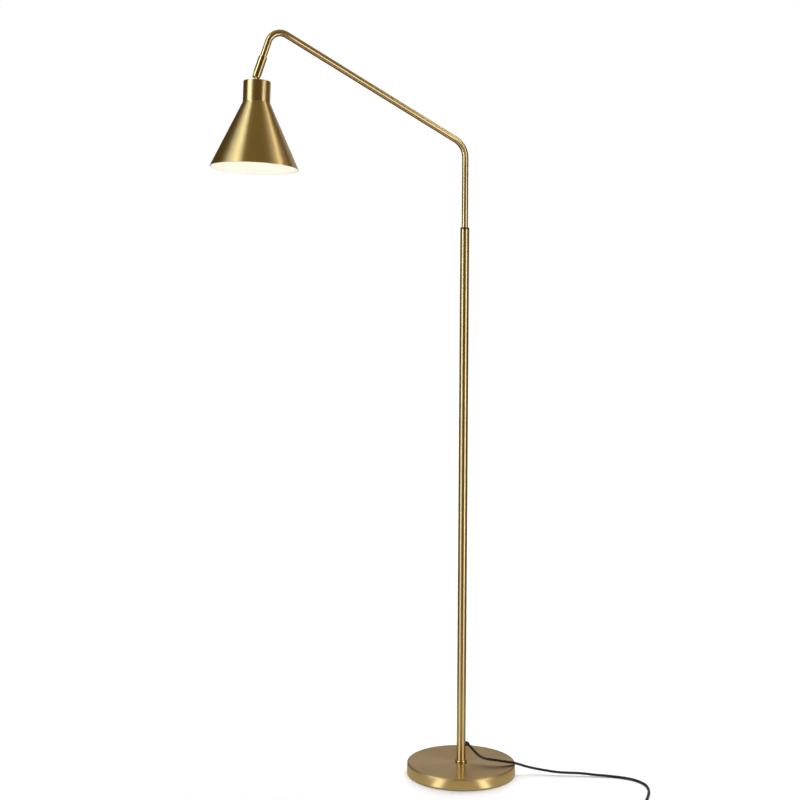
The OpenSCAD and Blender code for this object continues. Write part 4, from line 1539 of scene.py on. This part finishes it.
@dataclass
class ConeShade:
    """The spun shade, its white inside and the bulb."""

    pivot: Spot = (-0.42103, 0.0, 1.38805)
    lean: float = 2.0
    neck_top: float = -15.2
    neck_low: float = -55.2
    mouth: float = -179.2
    neck_r: float = 26.0
    mouth_r: float = 84.5
    wall: float = 1.0
    neck_edge: float = 1.6
    cone_edge: float = 2.0
    cone_steps: int = 14
    lip: tuple[Flat, ...] = ((0.1, 0.25), (0.35, 0.0))
    lip_inside: float = 0.1
    mouth_wear: float = 0.2
    neck_wear: float = 0.4
    thread_r: float = 5.1
    lining_t: float = 0.3
    lining_gap: float = 0.15
    lining_hole: float = 7.1
    lining_steps: int = 10
    bulb_centre: float = -122.0
    bulb_r: float = 30.0
    bulb_neck_r: float = 14.1
    bulb_neck: float = -72.0
    bulb_neck_steps: int = 8
    bulb_draw: float = 1.6
    bulb_edge: float = 0.8

    def frame_matrix(self) -> Matrix:
        """The shade's own frame, with its axis along Z."""
        return Matrix.Translation(self.pivot) @ Matrix.Rotation(math.radians(self.lean), 4, "Y")

    def inner_corner(self, depth: float) -> tuple[Flat, Flat]:
        """Two corners of the inside of the wall.

        Args:
            depth: distance from the outside.

        Returns:
            The corner at the mouth and the one at the turn of the neck.
        """
        slope = math.atan2(self.mouth_r - self.neck_r, self.neck_low - self.mouth)
        return ((self.mouth_r - depth / math.cos(slope), self.mouth),
                (self.neck_r - depth, self.neck_low - depth * math.tan(slope / 2)))

    def build_skin(self) -> None:
        """The brass skin, with a round neck edge and a soft turn into the cone."""
        rim, turn = self.inner_corner(self.wall)
        top, low, mouth, count = self.neck_top, self.neck_low, self.mouth, self.cone_steps
        cone = [(self.neck_r + (self.mouth_r - self.neck_r) * k / count, low + (mouth - low) * k / count)
                for k in range(1, count)]
        corners = [(self.thread_r, top, 0), (self.neck_r, top, self.neck_edge), (self.neck_r, low, self.cone_edge),
                   (*cone[0], 0)]
        outline = [(self.thread_r, top)] + filleted(corners, 7)[1:-1] + cone
        outline += [(self.mouth_r - inset, mouth + up) for inset, up in self.lip]
        outline += [(rim[0] + self.lip_inside, mouth), turn, (turn[0], top - self.wall),
                    (self.thread_r, top - self.wall)]
        mouth_edge = ((self.mouth_r - self.mouth_wear) * MM, (mouth + self.mouth_wear) * MM)
        neck_edge = ((self.neck_r - self.neck_wear) * MM, (top - self.neck_wear) * MM)
        finish = SpunBrass("shade_spun_brass", roughness=0.36, anisotropy=0.9, wear_and_painted_edges=(mouth_edge, neck_edge))
        piece = turned("shade_skin", outline, 192, closed=True)
        piece.matrix_world = self.frame_matrix()
        place(piece, Body.HEAD, Slot.BRUSHED_BRASS, finish, "shade")

    def build_lining(self) -> None:
        """The coat of white enamel inside."""
        rim, turn = self.inner_corner(self.wall)
        rim_in, turn_in = self.inner_corner(self.wall + self.lining_t)
        roof, count = self.neck_top - self.wall, self.lining_steps

        def slope(first: Flat, last: Flat) -> list[Flat]:
            """Points from one corner to another."""
            return [(first[0] + (last[0] - first[0]) * k / count, first[1] + (last[1] - first[1]) * k / count)
                    for k in range(count + 1)]

        outline = slope((rim[0], rim[1] + self.lining_gap), turn) + [(turn[0], roof), (self.lining_hole, roof)]
        outline += [(self.lining_hole, roof - self.lining_t), (turn_in[0], roof - self.lining_t)]
        outline += slope(turn_in, (rim_in[0], rim_in[1] + self.lining_gap))
        piece = turned("shade_lining", outline, 192, closed=True)
        piece.matrix_world = self.frame_matrix()
        # The enamel has a painted glow for the bulb's light.
        place(piece, Body.HEAD, Slot.WHITE_PLASTIC, Enamel("white_enamel_painted_glow"))

    def build_bulb(self) -> None:
        """The opal globe, drawn in to its neck."""
        centre, r, neck = self.bulb_centre, self.bulb_r, self.bulb_neck_r
        outline: list[Flat] = [(0.0, centre - r)]
        outline += [(r * math.sin(math.radians(a)), centre - r * math.cos(math.radians(a)))
                    for a in range(6, 127, 6)]
        start_r, start_z = outline[-1]
        for k in range(1, self.bulb_neck_steps + 1):
            t = k / self.bulb_neck_steps
            outline.append((start_r + (neck - start_r) * (1 - (1 - t) ** self.bulb_draw),
                            start_z + (self.bulb_neck - start_z) * t))
        outline += [(neck - self.bulb_edge, self.bulb_neck), (0.0, self.bulb_neck)]
        finish = LitOpal("lit_opal_glass", neck_height=self.bulb_neck * MM)
        piece = turned("bulb_globe", outline, 96)
        piece.matrix_world = self.frame_matrix()
        place(piece, Body.HEAD, Slot.FROSTED_GLASS, finish, "bulb_glass")

    def build(self) -> None:
        """Makes the shade's pieces."""
        self.build_skin()
        self.build_lining()
        self.build_bulb()


@dataclass
class InnerParts:
    """CAD nodes that keep their shape and get a finish."""

    finishes: dict[Finish, tuple[str, ...]] = field(default_factory=lambda: CARRIED)

    def build(self) -> None:
        """Gives each node its finish."""
        for finish, names in self.finishes.items():
            for name in names:
                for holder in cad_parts[name].material_slots:
                    holder.material = finish.material()
                log.info("node %s gets %s", name, finish.name)


def main() -> None:
    """Builds the camera, the lead, the lamp and the studio in order."""
    logging.basicConfig(level=logging.INFO, format="%(message)s")
    parts: Sequence[Any] = (
        Viewpoint(), MainsLead(), RoundBase(), Upright(), SwingArm(), ConeShade(), InnerParts(), Studio())
    for part in parts:
        part.build()
        log.info("built %s", type(part).__name__)


if __name__ == "__main__":
    main()
